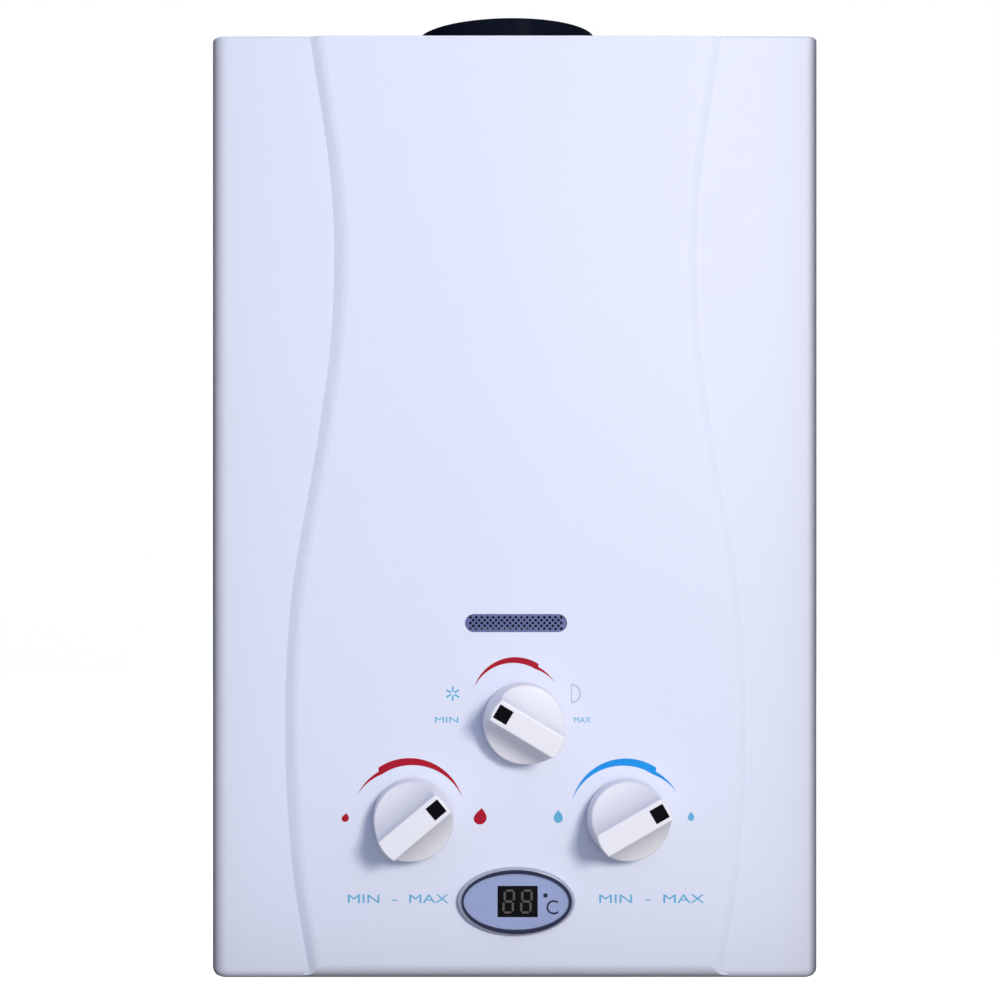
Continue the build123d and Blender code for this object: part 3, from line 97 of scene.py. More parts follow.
# Scales: middle across and up, then start, stop and step in degrees
SEASON_PLACE = (-0.0003, -0.0917)
SEASON_ANGLES = (162, 25, 57)
GAS_PLACE = (-0.0507, -0.1454)
GAS_ANGLES = (18, 160, 126)
WATER_PLACE = (0.0522, -0.1456)
WATER_ANGLES = (164, 23, 55)
SCALE_STEPS = 72
SWELL_SHARE = 0.85  # way to the step at which a scale is widest
SWELL_START = 0.04  # share of the width at the start
TAIL_MIDDLE = 0.72  # middle and half width of the tail after the step, and half width at its end
TAIL_HALF = 0.26
TAIL_END = 0.02

# Signs: name, place, width and height
FLAMES = (
    ("small_flame_sign", (-0.0813, -0.1474), 0.0032, 0.0042),
    ("large_flame_sign", (-0.0172, -0.1468), 0.0056, 0.0080),
)
DROPS = (
    ("large_drop_sign", (0.0201, -0.1469), 0.0040, 0.0062),
    ("small_drop_sign", (0.0833, -0.1469), 0.0028, 0.0044),
)
FLAME_LEAN = 0.18
DROP_POINT = 2.2  # powers that shape a drop's point and flank, and the factor of its belly
DROP_FLANK = 0.8
DROP_BELLY = 1.25
STAR_PLACE = (-0.0301, -0.0885)
STAR_ANGLES = range(30, 390, 60)
STAR_RAY_LENGTH = 0.0026
STAR_RAY_WIDTH = 0.0008
STAR_RADIUS = 0.0022
HALF_CIRCLE_PLACE = (0.0262, -0.0885)
HALF_CIRCLE_RADIUS = 0.0046
HALF_CIRCLE_LINE = 0.0006
SIGN_SEGMENTS = 40

# Words: places and widths, and the height of their capitals as a share of the set height
SEASON_LOW_PLACE = (-0.0330, -0.1010)
SEASON_LOW_WIDTH = 0.0110
SEASON_HIGH_PLACE = (0.0316, -0.1010)
SEASON_HIGH_WIDTH = 0.0080
GAS_RANGE_PLACE = (-0.0560, -0.1861)
GAS_RANGE_WIDTH = 0.0480
WATER_RANGE_PLACE = (0.0646, -0.1861)
WATER_RANGE_WIDTH = 0.0500
SMALL_CAPITAL_SHARE = 0.8
CAPITAL_SHARE = 0.7

# Display: digits, degree sign and letter
DIGIT_WIDTH = 0.0044
DIGIT_HEIGHT = 0.0104
DIGIT_OFFSET = 0.0042
SEGMENT_WIDTH = 0.0010
SEGMENT_GAP_SHARE = 1.15
DIGIT_LEAN = 0.10
DEGREE_PLACE = (0.0138, -0.1841)
DEGREE_RADIUS = 0.0011
DEGREE_SEGMENTS = 24
LETTER_PLACE = (0.0170, -0.1897)
LETTER_HEIGHT = 0.0068
LETTER_WIDTH = 0.0056
DISPLAY_INK = (0.03, 0.035, 0.08)

# Lamps: place, size and colour
KEY_PLACE = (0.58, -1.78, 0.42)
KEY_SIZE = 0.40
KEY_COLOUR = (1.0, 0.935, 0.84)
BACK_PLACE = (-0.40, 1.60, 0.95)
BACK_SIZE = 1.80
BACK_COLOUR = (0.94, 0.97, 1.0)

# Black cards: name, place, size, and whether it stands beside a side edge
FLAGS = (
    ("right_flag", (0.1478, -0.1365, 0), (0.021, 0.46), True),
    ("left_flag", (-0.1495, -0.130, 0), (0.020, 0.46), True),
    ("bottom_flag", (0, -0.146, -0.2278), (0.32, 0.060), False),
)
FLAG_GREY = 0.01

# Camera: sensor in millimetres, and where the panel's middle lies in the picture
SENSOR_WIDTH = 36.0
CLIP_START = 0.01
FRAME_SHIFT_X = -0.016
FRAME_SHIFT_Y = 0.0075

# Floor and surroundings
FLOOR_HALF = 4.0
FLOOR_LEVEL = -0.30
FLOOR_GREY = 0.50
FLOOR_ROUGHNESS = 0.9
FLOOR_GLOW = 0.90
FRONT_FADE = (0.2, -1.0)
FRONT_LIGHT = (0.10, 1.0)
COOL_TINT = (0.85, 1.0, 1.40)
WHITE = (1.0, 1.0, 1.0, 1.0)
BLACK = (0.0, 0.0, 0.0, 1.0)

# Finishes with fixed colours: name, nodes, and what finish makes the material from
FITTING_LOOKS = (
    (
        "Window sheet",
        ("window_mesh",),
        {"tones": ((0.07, 0.09, 0.22), (0.13, 0.16, 0.34)), "rough": (0.3, 0.5),
         "fine": 900, "broad": 60, "bump": 0.00002, "metallic": 0.5},
    ),
    (
        "Digit window",
        ("display_led",),
        {"tones": ((0.004, 0.004, 0.006), (0.008, 0.008, 0.01)), "rough": (0.15, 0.22),
         "fine": 900, "broad": 60, "specular": 0.05},
    ),
    (
        "Screw plating",
        ("cover_screws", "chassis_screws", "collar_screws", "diaphragm_screws"),
        {"tones": ((0.50, 0.51, 0.53), (0.62, 0.63, 0.64)), "rough": (0.25, 0.4),
         "fine": 1200, "broad": 200, "bump": 0.00002, "metallic": 1.0},
    ),
)
INSIDE_LOOKS = (
    (
        "Galvanised sheet",
        ("back_plate", "flue_hood", "exchanger_brackets", "switch_bracket", "electrode_bracket"),
        {"tones": ((0.42, 0.44, 0.46), (0.62, 0.64, 0.66)), "rough": (0.36, 0.54),
         "bump": 0.00001, "metallic": 0.85, "spangle": 160},
    ),
    (
        "Drawn copper",
        ("exchanger_shell", "exchanger_fins", "exchanger_tubes", "chamber_coil", "hot_pipe", "cold_pipe"),
        {"tones": ((0.62, 0.27, 0.15), (0.80, 0.42, 0.26)), "rough": (0.22, 0.42),
         "fine": 700, "broad": 28, "bump": 0.00002, "metallic": 1.0},
    ),
    (
        "Stainless",
        ("burner_frame", "burner_bars", "switch_lever"),
        {"tones": ((0.34, 0.34, 0.36), (0.50, 0.50, 0.51)), "rough": (0.26, 0.42),
         "fine": 900, "broad": 45, "bump": 0.00001, "metallic": 1.0, "stretch": (0.2, 1, 1)},
    ),
    (
        "Cast aluminium",
        ("gas_manifold", "gas_valve_body", "gas_riser"),
        {"tones": ((0.52, 0.53, 0.54), (0.66, 0.67, 0.68)), "rough": (0.42, 0.62),
         "fine": 1100, "broad": 80, "bump": 0.00008, "metallic": 0.9},
    ),
    (
        "Machined brass",
        ("union_nuts", "gas_nozzles", "gas_nipple", "cold_nipple", "hot_nipple", "water_valve_body",
         "diaphragm_cover", "gas_spindle", "water_spindle", "season_spindle", "push_rod"),
        {"tones": ((0.56, 0.38, 0.13), (0.72, 0.52, 0.22)), "rough": (0.20, 0.36),
         "fine": 900, "broad": 60, "bump": 0.00002, "metallic": 1.0},
    ),
    (
        "Moulded rubber",
        ("diaphragm",),
        {"tones": ((0.012, 0.012, 0.012), (0.03, 0.03, 0.03)), "rough": (0.6, 0.8),
         "fine": 1200, "broad": 60, "bump": 0.00005},
    ),
    (
        "Black plastic",
        ("gas_solenoid", "drain_plug", "microswitch", "overheat_switch", "control_box", "battery_box",
         "battery_lid"),
        {"tones": ((0.02, 0.02, 0.022), (0.035, 0.035, 0.038)), "rough": (0.42, 0.56),
         "fine": 1500, "broad": 50, "bump": 0.00004},
    ),
    (
        "Fired ceramic",
        ("spark_electrode", "flame_probe"),
        {"tones": ((0.80, 0.78, 0.73), (0.88, 0.87, 0.83)), "rough": (0.35, 0.5),
         "fine": 1200, "broad": 90, "bump": 0.00002},
    ),
    (
        "Cell wrap",
        ("battery_cells",),
        {"tones": ((0.03, 0.035, 0.045), (0.06, 0.065, 0.08)), "rough": (0.25, 0.4),
         "fine": 800, "broad": 60, "bump": 0.00001, "coat": 0.2},
    ),
    (
        "Circuit board",
        ("display_board",),
        {"tones": ((0.012, 0.09, 0.035), (0.03, 0.16, 0.06)), "rough": (0.3, 0.5),
         "fine": 900, "broad": 150, "bump": 0.00003},
    ),
)


def colour_property(name, description, default):
    """Colour setting."""
    return FloatVectorProperty(
        name=name, description=description, subtype="COLOR", size=3, min=0.0, max=1.0, default=default
    )


def length_property(name, description, default):
    """Length setting in metres."""
    return FloatProperty(
        name=name, description=description, subtype="DISTANCE", unit="LENGTH", default=default
    )


def power_property(name, description, default):
    """Lamp setting in watts."""
    return FloatProperty(name=name, description=description, unit="POWER", default=default)


def share_property(name, description, default):
    """Setting without a unit."""
    return FloatProperty(name=name, description=description, default=default)


class HeaterColours(bpy.types.PropertyGroup):
    """Colours of the visible finishes"""

    enamel: colour_property("Enamel", "White enamel of the cover", (0.765, 0.805, 0.94))
    knob: colour_property("Knob", "Plastic of the three knobs", (0.86, 0.86, 0.92))
    pointer: colour_property("Pointer", "Inlay that marks a knob's setting", (0.002, 0.002, 0.004))
    flue: colour_property("Flue", "Enamel of the flue collar", (0.003, 0.004, 0.010))
    warm_print: colour_property("Warm print", "Ink of the season and gas scales", (0.42, 0.004, 0.022))
    cold_print: colour_property("Cold print", "Ink of the water scale", (0.008, 0.29, 0.78))
    pale_print: colour_property("Pale print", "Ink of the small words", (0.13, 0.46, 0.70))
    grey_print: colour_property("Grey print", "Ink of the outlined sign", (0.50, 0.50, 0.58))
    display: colour_property("Display", "Plate round the digits", (0.33, 0.40, 0.65))
    segment: colour_property("Segment", "Unlit digit segments", (0.075, 0.072, 0.062))


class HeaterPrint(bpy.types.PropertyGroup):
    """Sizes of the printed scales"""

    season_radius: length_property("Season radius", "Outer radius of the season scale", 0.0205)
    season_band: length_property("Season band", "Greatest width of the season scale", 0.0029)
    valve_radius: length_property("Valve radius", "Outer radius of the gas and water scales", 0.0262)
    valve_band: length_property("Valve band", "Greatest width of the gas and water scales", 0.0036)
    word_height: length_property("Word height", "Height of the words under the scales", 0.0058)
    small_word_height: length_property("Small word height", "Height of the words beside the top knob", 0.0034)


class HeaterStage(bpy.types.PropertyGroup):
    """Camera and light"""

    camera_side: length_property("Camera side", "Camera's place across the panel", -0.068)
    camera_distance: length_property("Camera distance", "Camera to the raised field", 0.86)
    camera_height: length_property("Camera height", "Camera's height from the panel's middle", 0.0)
    camera_scale: share_property("Camera scale", "Picture widths in a metre of the panel", 2.102)
    key_power: power_property("Key power", "Lamp at the upper right", 20.7)
    back_power: power_property("Back power", "Lamp behind the heater", 24.0)
    ambient: share_property("Ambient", "Strength of the light from the front", 0.60)


def link(piece, body):
    """Put a finished piece in the scene and let it move with its body."""
    bpy.context.scene.collection.objects.link(piece)
    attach(piece, body)
    return piece


def mesh_piece(name, work, material):
    """Turn a bmesh into a flat-shaded object at the origin."""
    bmesh.ops.recalc_face_normals(work, faces=work.faces[:])
    mesh = bpy.data.meshes.new(name)
    work.to_mesh(mesh)
    work.free()
    for face in mesh.polygons:
        face.use_smooth = False
    mesh.materials.append(material)
    return bpy.data.objects.new(name, mesh)


def new_group(name, inputs, outputs):
    """Shader node group with its sockets and end nodes."""
    group = bpy.data.node_groups.new(name, "ShaderNodeTree")
    for socket, kind in inputs:
        group.interface.new_socket(name=socket, in_out="INPUT", socket_type=kind)
    for socket, kind in outputs:
        group.interface.new_socket(name=socket, in_out="OUTPUT", socket_type=kind)
    return group, group.nodes.new("NodeGroupInput"), group.nodes.new("NodeGroupOutput")


def grain_group():
    """Fine and broad noise of a sprayed, moulded or cast skin."""
    if "Skin grain" in bpy.data.node_groups:
        return bpy.data.node_groups["Skin grain"]
    scales = [("Fine scale", "NodeSocketFloat"), ("Broad scale", "NodeSocketFloat")]
    group, source, sink = new_group(
        "Skin grain",
        [("Vector", "NodeSocketVector")] + scales,
        [("Fine", "NodeSocketFloat"), ("Broad", "NodeSocketFloat")],
    )
    for scale_name, output, detail in (("Fine scale", "Fine", 2.0), ("Broad scale", "Broad", 3.0)):
        noise = group.nodes.new("ShaderNodeTexNoise")
        noise.inputs["Detail"].default_value = detail
        group.links.new(source.outputs["Vector"], noise.inputs["Vector"])
        group.links.new(source.outputs[scale_name], noise.inputs["Scale"])
        group.links.new(noise.outputs["Fac"], sink.inputs[output])
    return group


def spangle_group():
    """Crystal pattern of galvanised sheet."""
    if "Zinc spangle" in bpy.data.node_groups:
        return bpy.data.node_groups["Zinc spangle"]
    group, source, sink = new_group(
        "Zinc spangle",
        [("Vector", "NodeSocketVector"), ("Scale", "NodeSocketFloat")],
        [("Fine", "NodeSocketFloat"), ("Broad", "NodeSocketFloat")],
    )
    cells = group.nodes.new("ShaderNodeTexVoronoi")
    split = group.nodes.new("ShaderNodeSeparateColor")
    group.links.new(source.outputs["Vector"], cells.inputs["Vector"])
    group.links.new(source.outputs["Scale"], cells.inputs["Scale"])
    group.links.new(cells.outputs["Color"], split.inputs["Color"])
    group.links.new(split.outputs["Red"], sink.inputs["Broad"])
    group.links.new(split.outputs["Green"], sink.inputs["Fine"])
    return group


def finish(
    name, tones, rough, fine=0, broad=0, bump=0,
    metallic=0.0, coat=0.0, stretch=(1, 1, 1), spangle=0.0, specular=0.5,
):
    """Material whose colour, gloss and relief change with a grain on Object coordinates."""
    material = bpy.data.materials.new(name)
    material.use_nodes = True
    tree = material.node_tree
    shader = tree.nodes["Principled BSDF"]
    place = tree.nodes.new("ShaderNodeTexCoord")
    mapping = tree.nodes.new("ShaderNodeMapping")
    mapping.inputs["Scale"].default_value = stretch
    tree.links.new(place.outputs["Object"], mapping.inputs["Vector"])
    grain = tree.nodes.new("ShaderNodeGroup")
    if spangle:
        grain.node_tree = spangle_group()
        grain.inputs["Scale"].default_value = spangle
    else:
        grain.node_tree = grain_group()
        grain.inputs["Fine scale"].default_value = fine
        grain.inputs["Broad scale"].default_value = broad
    tree.links.new(mapping.outputs["Vector"], grain.inputs["Vector"])
    tone = tree.nodes.new("ShaderNodeMix")
    tone.data_type = "RGBA"
    tone.inputs["A"].default_value = (*tones[0], 1.0)
    tone.inputs["B"].default_value = (*tones[1], 1.0)
    tree.links.new(grain.outputs["Broad"], tone.inputs["Factor"])
    tree.links.new(tone.outputs["Result"], shader.inputs["Base Color"])
    gloss = tree.nodes.new("ShaderNodeMapRange")
    gloss.inputs["To Min"].default_value = rough[0]
    gloss.inputs["To Max"].default_value = rough[1]
    tree.links.new(grain.outputs["Fine"], gloss.inputs["Value"])
    tree.links.new(gloss.outputs["Result"], shader.inputs["Roughness"])
    if bump:
        relief = tree.nodes.new("ShaderNodeBump")
        relief.inputs["Strength"].default_value = RELIEF_STRENGTH
        relief.inputs["Distance"].default_value = bump
        tree.links.new(grain.outputs["Fine"], relief.inputs["Height"])
        tree.links.new(relief.outputs["Normal"], shader.inputs["Normal"])
    shader.inputs["Metallic"].default_value = metallic
    shader.inputs["Coat Weight"].default_value = coat
    shader.inputs["Coat Roughness"].default_value = COAT_ROUGHNESS
    shader.inputs["Specular IOR Level"].default_value = specular
    return material


def shade(colour, share):
    """Colour made lighter or darker by a share."""
    return tuple(min(1.0, value * share) for value in colour)


def about(colour, share):
    """Pair of tones a share darker and a share lighter than a colour."""
    return shade(colour, 1 - share), shade(colour, 1 + share)


def dress(nodes, material):
    """Give carried-over nodes a finished material."""
    for node in nodes:
        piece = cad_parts[node]
        piece.data.materials.clear()
        piece.data.materials.append(material)


def dress_all(looks):
    """Give each row of a table of fixed finishes to its nodes."""
    for name, nodes, look in looks:
        dress(nodes, finish(name, **look))


class HEATER_OT_casing(bpy.types.Operator):
    """Finish the cover, flue collar, window sheet, display frame and screws"""

    bl_idname = "heater.casing"
    bl_label = "Finish the casing"

    def execute(self, context):
        colours = context.scene.heater_colours
        enamel = tuple(colours.enamel)
        flue = tuple(colours.flue)
        plate = tuple(colours.display)
        dress(
            ["front_cover"],
            finish("Cover enamel", about(enamel, 0.015), (0.42, 0.50), 900, 9, 0.00002, specular=0.2),
        )
        dress(
            ["flue_collar"],
            finish("Flue enamel", (flue, shade(flue, 1.6)), (0.07, 0.09), 500, 25, specular=0.07),
        )
        dress(["display_bezel"], self.rim("Bezel rim"))
        dress(
            ["display_face"],
            finish("Display plate", about(plate, 0.06), (0.22, 0.32), 1500, 60, 0.00001, coat=0.4),
        )
        dress_all(FITTING_LOOKS)
        return {"FINISHED"}

    def rim(self, name):
        """Plated frame with painted shade on its inner band and a painted highlight on its outer band, both
        oval, in place of the rim's reflections.
        """
        material = finish(name, (RIM_PAINTED_SHADE, shade(RIM_PAINTED_SHADE, 1.3)), (0.18, 0.26), 700, 40)
        tree = material.node_tree
        low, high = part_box("display_bezel")
        middle = (low + high) / 2
        size = (high - low) / 2
        place = tree.nodes.new("ShaderNodeTexCoord")
        mapping = tree.nodes.new("ShaderNodeMapping")
        mapping.inputs["Location"].default_value = (-middle.x / size.x, 0, -middle.z / size.z)
        mapping.inputs["Scale"].default_value = (1 / size.x, 0, 1 / size.z)
        reach = tree.nodes.new("ShaderNodeVectorMath")
        reach.operation = "LENGTH"
        # The oval mask fades the painted shade of the inner band into the painted highlight of the outer band.
        band = tree.nodes.new("ShaderNodeMapRange")
        band.inputs["From Min"].default_value = RIM_SHARES[0]
        band.inputs["From Max"].default_value = RIM_SHARES[1]
        shade_to_highlight = tree.nodes.new("ShaderNodeMix")
        shade_to_highlight.data_type = "RGBA"
        shade_to_highlight.inputs["B"].default_value = (*RIM_PAINTED_HIGHLIGHT, 1.0)
        shader = tree.nodes["Principled BSDF"]
        base = shader.inputs["Base Color"].links[0].from_socket
        tree.links.new(place.outputs["Object"], mapping.inputs["Vector"])
        tree.links.new(mapping.outputs["Vector"], reach.inputs[0])
        tree.links.new(reach.outputs["Value"], band.inputs["Value"])
        tree.links.new(band.outputs["Result"], shade_to_highlight.inputs["Factor"])
        tree.links.new(base, shade_to_highlight.inputs["A"])
        tree.links.new(shade_to_highlight.outputs["Result"], shader.inputs["Base Color"])
        return material


def wanted_crease(height):
    """Share of the half width at which the wanted crease lies, on a smooth line through its points."""
    points = list(zip(CREASE_HEIGHTS, CREASE_SHARES))
    last = len(points) - 1
    height = min(max(height, CREASE_HEIGHTS[0]), CREASE_HEIGHTS[last])
    index = min(bisect.bisect_right(CREASE_HEIGHTS, height), last) - 1
    slopes = []
    for place in (index, index + 1):
        below, above = points[max(0, place - 1)], points[min(last, place + 1)]
        slopes.append((above[1] - below[1]) / (above[0] - below[0]))
    (low, start), (high, stop) = points[index], points[index + 1]
    run = high - low
    share = (height - low) / run
    ease = share * share * (3 - 2 * share)
    lead = share * (1 - share) ** 2 * run * slopes[0]
    tail = share * share * (share - 1) * run * slopes[1]
    return start + (stop - start) * ease + lead + tail


def packed_crease(work):
    """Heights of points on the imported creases' slopes, and how far the creases lie from the middle there."""
    rows = []
    for vert in work.verts:
        rise = (vert.co.y - CREASE_FOOT) / (FIELD_FRONT - CREASE_FOOT)
        inside = abs(vert.co.x) < OUTER_STOP - CREASE_BAND
        sloped = vert.normal.y < SLOPE_FACING and abs(vert.normal.x) > SLOPE_LEAN
        if inside and sloped and SLOPE_SHARES[0] < rise < SLOPE_SHARES[1]:
            # A crease rises by 3 s2 - 2 s3 over its width, and this is that formula solved for s
            share = 0.5 - math.sin(math.asin(1 - 2 * rise) / 3)
            across = CREASE_BAND / 2 * ((1 - share) ** 3 - share**3)
            rows.append((vert.co.z, abs(vert.co.x) - across))
    return sorted(rows)


class CreaseMove:
    """Takes points of the cover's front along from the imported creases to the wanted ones."""

    def __init__(self, work, half_width):
        self.half_width = half_width
        self.rows = packed_crease(work)
        self.heights = [row[0] for row in self.rows]

    def packed(self, height):
        """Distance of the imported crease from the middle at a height."""
        index = min(max(bisect.bisect_left(self.heights, height), 1), len(self.rows) - 1)
        (low, start), (high, stop) = self.rows[index - 1], self.rows[index]
        share = min(max((height - low) / max(high - low, WELD), 0), 1)
        return start + (stop - start) * share

    def move(self, height):
        """How far outwards the crease goes at a height."""
        return wanted_crease(height) * self.half_width - self.packed(height)

    def shift(self, vert):
        """Move a point with the crease beside it, and give the lean of that move."""
        reach = abs(vert.co.x)
        packed = self.packed(vert.co.z)
        inner = packed - CREASE_BAND / 2
        outer = packed + CREASE_BAND / 2
        if reach < inner:
            weight = max(0.0, 1 - (inner - reach) / INNER_REACH)
        else:
            weight = min(1.0, max(0.0, (OUTER_STOP - reach) / (OUTER_STOP - outer)))
        rise = self.move(vert.co.z + LEAN_STEP) - self.move(vert.co.z - LEAN_STEP)
        side = math.copysign(1.0, vert.co.x)
        vert.co.x += side * self.move(vert.co.z) * weight
        return side * rise / (2 * LEAN_STEP) * weight


class HEATER_OT_cover(bpy.types.Operator):
    """Press the cover anew, with creases that run in one long S"""

    bl_idname = "heater.cover"
    bl_label = "Press the cover"

    def execute(self, context):
        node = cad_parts["front_cover"]
        work = bmesh.new()
        work.from_mesh(node.data)
        kept = work.loops.layers.float_vector.new("kept_normal")
        packed_normals = iter(node.data.corner_normals)
        for face in work.faces:
            for corner in face.loops:
                corner[kept] = next(packed_normals).vector
        bmesh.ops.remove_doubles(work, verts=work.verts[:], dist=WELD)
        work.normal_update()
        crease = CreaseMove(work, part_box("front_cover")[1].x)
        bmesh.ops.dissolve_faces(work, faces=[face for face in work.faces if self.flat(face)])
        leans = {vert: crease.shift(vert) for vert in work.verts if vert.co.y < FRONT_ZONE}
        bmesh.ops.triangulate(work, faces=[face for face in work.faces if len(face.verts) > 3])
        work.normal_update()
        normals = []
        for face in work.faces:
            level = abs(face.normal.y) > LEVEL_NORMAL
            for corner in face.loops:
                normal = face.normal.copy() if level else corner[kept].copy()
                normal.z -= leans.get(corner.vert, 0.0) * normal.x
                normals.append(normal.normalized())
        work.loops.layers.float_vector.remove(kept)
        mesh = bpy.data.meshes.new("pressed_cover")
        work.to_mesh(mesh)
        work.free()
        for face in mesh.polygons:
            face.use_smooth = True
        mesh.normals_split_custom_set(normals)
        mesh.materials.append(node.data.materials[0])
        piece = link(bpy.data.objects.new("pressed_cover", mesh), "casing")
        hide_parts("front_cover")
        return {"FINISHED"}

    def flat(self, face):
        """Whether a face is of a side field's front, or of the raised field above its openings."""
        place = face.calc_center_median()
        level = SIDE_FRONT if place.y > (SIDE_FRONT + FIELD_FRONT) / 2 else FIELD_FRONT
        bare = level == SIDE_FRONT or min(vert.co.z for vert in face.verts) > BARE_HEIGHT
        return face.normal.y < -LEVEL_NORMAL and abs(place.y - level) < LEVEL_PLAY and bare


class HEATER_OT_controls(bpy.types.Operator):
    """Finish the knobs and their pointers"""

    bl_idname = "heater.controls"
    bl_label = "Finish the controls"

    def execute(self, context):
        colours = context.scene.heater_colours
        knob = tuple(colours.knob)
        dress(
            ["season_knob", "gas_knob", "water_knob"],
            finish("Knob plastic", about(knob, 0.02), (0.32, 0.42), 1600, 40, 0.00003),
        )
        ink = tuple(colours.pointer)
        dress(
            ["season_pointer", "gas_pointer", "water_pointer"],
            finish("Pointer inlay", (ink, shade(ink, 1.5)), (0.35, 0.5), 1600, 90, 0.00002, specular=0.04),
        )
        return {"FINISHED"}


class HEATER_OT_inside(bpy.types.Operator):
    """Finish the chassis, the exchanger, the burner, the valves and the electrics"""

    bl_idname = "heater.inside"
    bl_label = "Finish the inside"

    def execute(self, context):
        dress_all(INSIDE_LOOKS)
        return {"FINISHED"}


def print_ink(name, colour):
    """Screen-printed ink with a slightly uneven coat."""
    return finish(name, about(colour, 0.08), (0.40, 0.55), 1400, 130, specular=0.15)


def print_piece(name, work, place, material, front=FIELD_FRONT):
    """Thicken a flat shape drawn in X and Z, lay it on the front at a place and let it ride there."""
    bmesh.ops.remove_doubles(work, verts=work.verts[:], dist=WELD)
    bmesh.ops.translate(work, verts=work.verts[:], vec=(place[0], front - PRINT_LIFT, place[1]))
    lifted = bmesh.ops.extrude_face_region(work, geom=work.faces[:])
    raised = [item for item in lifted["geom"] if isinstance(item, bmesh.types.BMVert)]
    bmesh.ops.translate(work, verts=raised, vec=(0, -PRINT_THICK, 0))
    return link(mesh_piece(name, work, material), "casing")


def stand_up(work, verts):
    """Turn what is drawn in X and Y into the panel's plane."""
    bmesh.ops.rotate(work, verts=verts, matrix=Matrix.Rotation(QUARTER_TURN, 3, "X"))


def disc_shape(work, radius, segments):
    """Filled circle in the panel's plane."""
    verts = bmesh.ops.create_circle(work, cap_ends=True, segments=segments, radius=radius)["verts"]
    stand_up(work, verts)
    return verts


def drop_shape(work, width, height, lean=0.0):
    """Drop or flame outline, round below and pointed above."""
    for vert in disc_shape(work, 1.0, SIGN_SEGMENTS):
        rise = (vert.co.z + 1.0) / 2.0
        vert.co.x *= width / 2 * (1.0 - rise**DROP_POINT) ** DROP_FLANK * DROP_BELLY
        vert.co.x += lean * rise**2
        vert.co.z *= height / 2


def bar_shape(work, length, width, angle):
    """Flat bar across the middle, turned in the panel's plane."""
    verts = bmesh.ops.create_grid(work, x_segments=1, y_segments=1, size=0.5)["verts"]
    bmesh.ops.scale(work, verts=verts, vec=(length, width, 1))
    stand_up(work, verts)
    bmesh.ops.rotate(work, verts=verts, matrix=Matrix.Rotation(math.radians(-angle), 3, "Y"))
    return verts


def scale_arc(name, place, radius, band, angles, material):
    """Scale that swells from its start to a step and goes on as a thin tail to its stop."""
    start, stop, step = angles
    work = bmesh.new()
    first = work.verts.new((radius - band, 0, 0))
    last = work.verts.new((radius, 0, 0))
    edge = work.edges.new((first, last))
    sweep = math.radians(stop - start)
    bmesh.ops.rotate(work, verts=[first, last], matrix=Matrix.Rotation(-math.radians(start), 3, "Y"))
    bmesh.ops.spin(
        work, geom=[first, last, edge], cent=(0, 0, 0), axis=(0, -1, 0), angle=sweep, steps=SCALE_STEPS
    )
    step_share = (step - start) / (stop - start)
    for vert in work.verts:
        reach = math.hypot(vert.co.x, vert.co.z)
        angle = math.degrees(math.atan2(vert.co.z, vert.co.x))
        share = (angle - start) / (stop - start)
        inner = reach < radius - band / 2
        if share < step_share:
            way = max(0.0, min(1.0, share / step_share / SWELL_SHARE))
            swell = max(SWELL_START, math.sin(0.5 * math.pi * way))
            wanted = radius - band * swell if inner else radius
        else:
            run = min(1.0, (share - step_share) / (1.0 - step_share))
            middle = radius - band * TAIL_MIDDLE * (1.0 - run)
            half = band * max(TAIL_END, TAIL_HALF * (1.0 - run))
            wanted = middle - half if inner else middle + half
        vert.co.x *= wanted / reach
        vert.co.z *= wanted / reach
    return print_piece(name, work, place, material)


class HEATER_OT_scales(bpy.types.Operator):
    """Print the swelling scales over the three knobs"""

    bl_idname = "heater.scales"
    bl_label = "Print the scales"

    def execute(self, context):
        sizes = context.scene.heater_print
        colours = context.scene.heater_colours
        warm = print_ink("Warm ink", tuple(colours.warm_print))
        cold = print_ink("Cold ink", tuple(colours.cold_print))
        season = (sizes.season_radius, sizes.season_band)
        valve = (sizes.valve_radius, sizes.valve_band)
        scale_arc("season_scale", SEASON_PLACE, *season, SEASON_ANGLES, warm)
        scale_arc("gas_scale", GAS_PLACE, *valve, GAS_ANGLES, warm)
        scale_arc("water_scale", WATER_PLACE, *valve, WATER_ANGLES, cold)
        return {"FINISHED"}


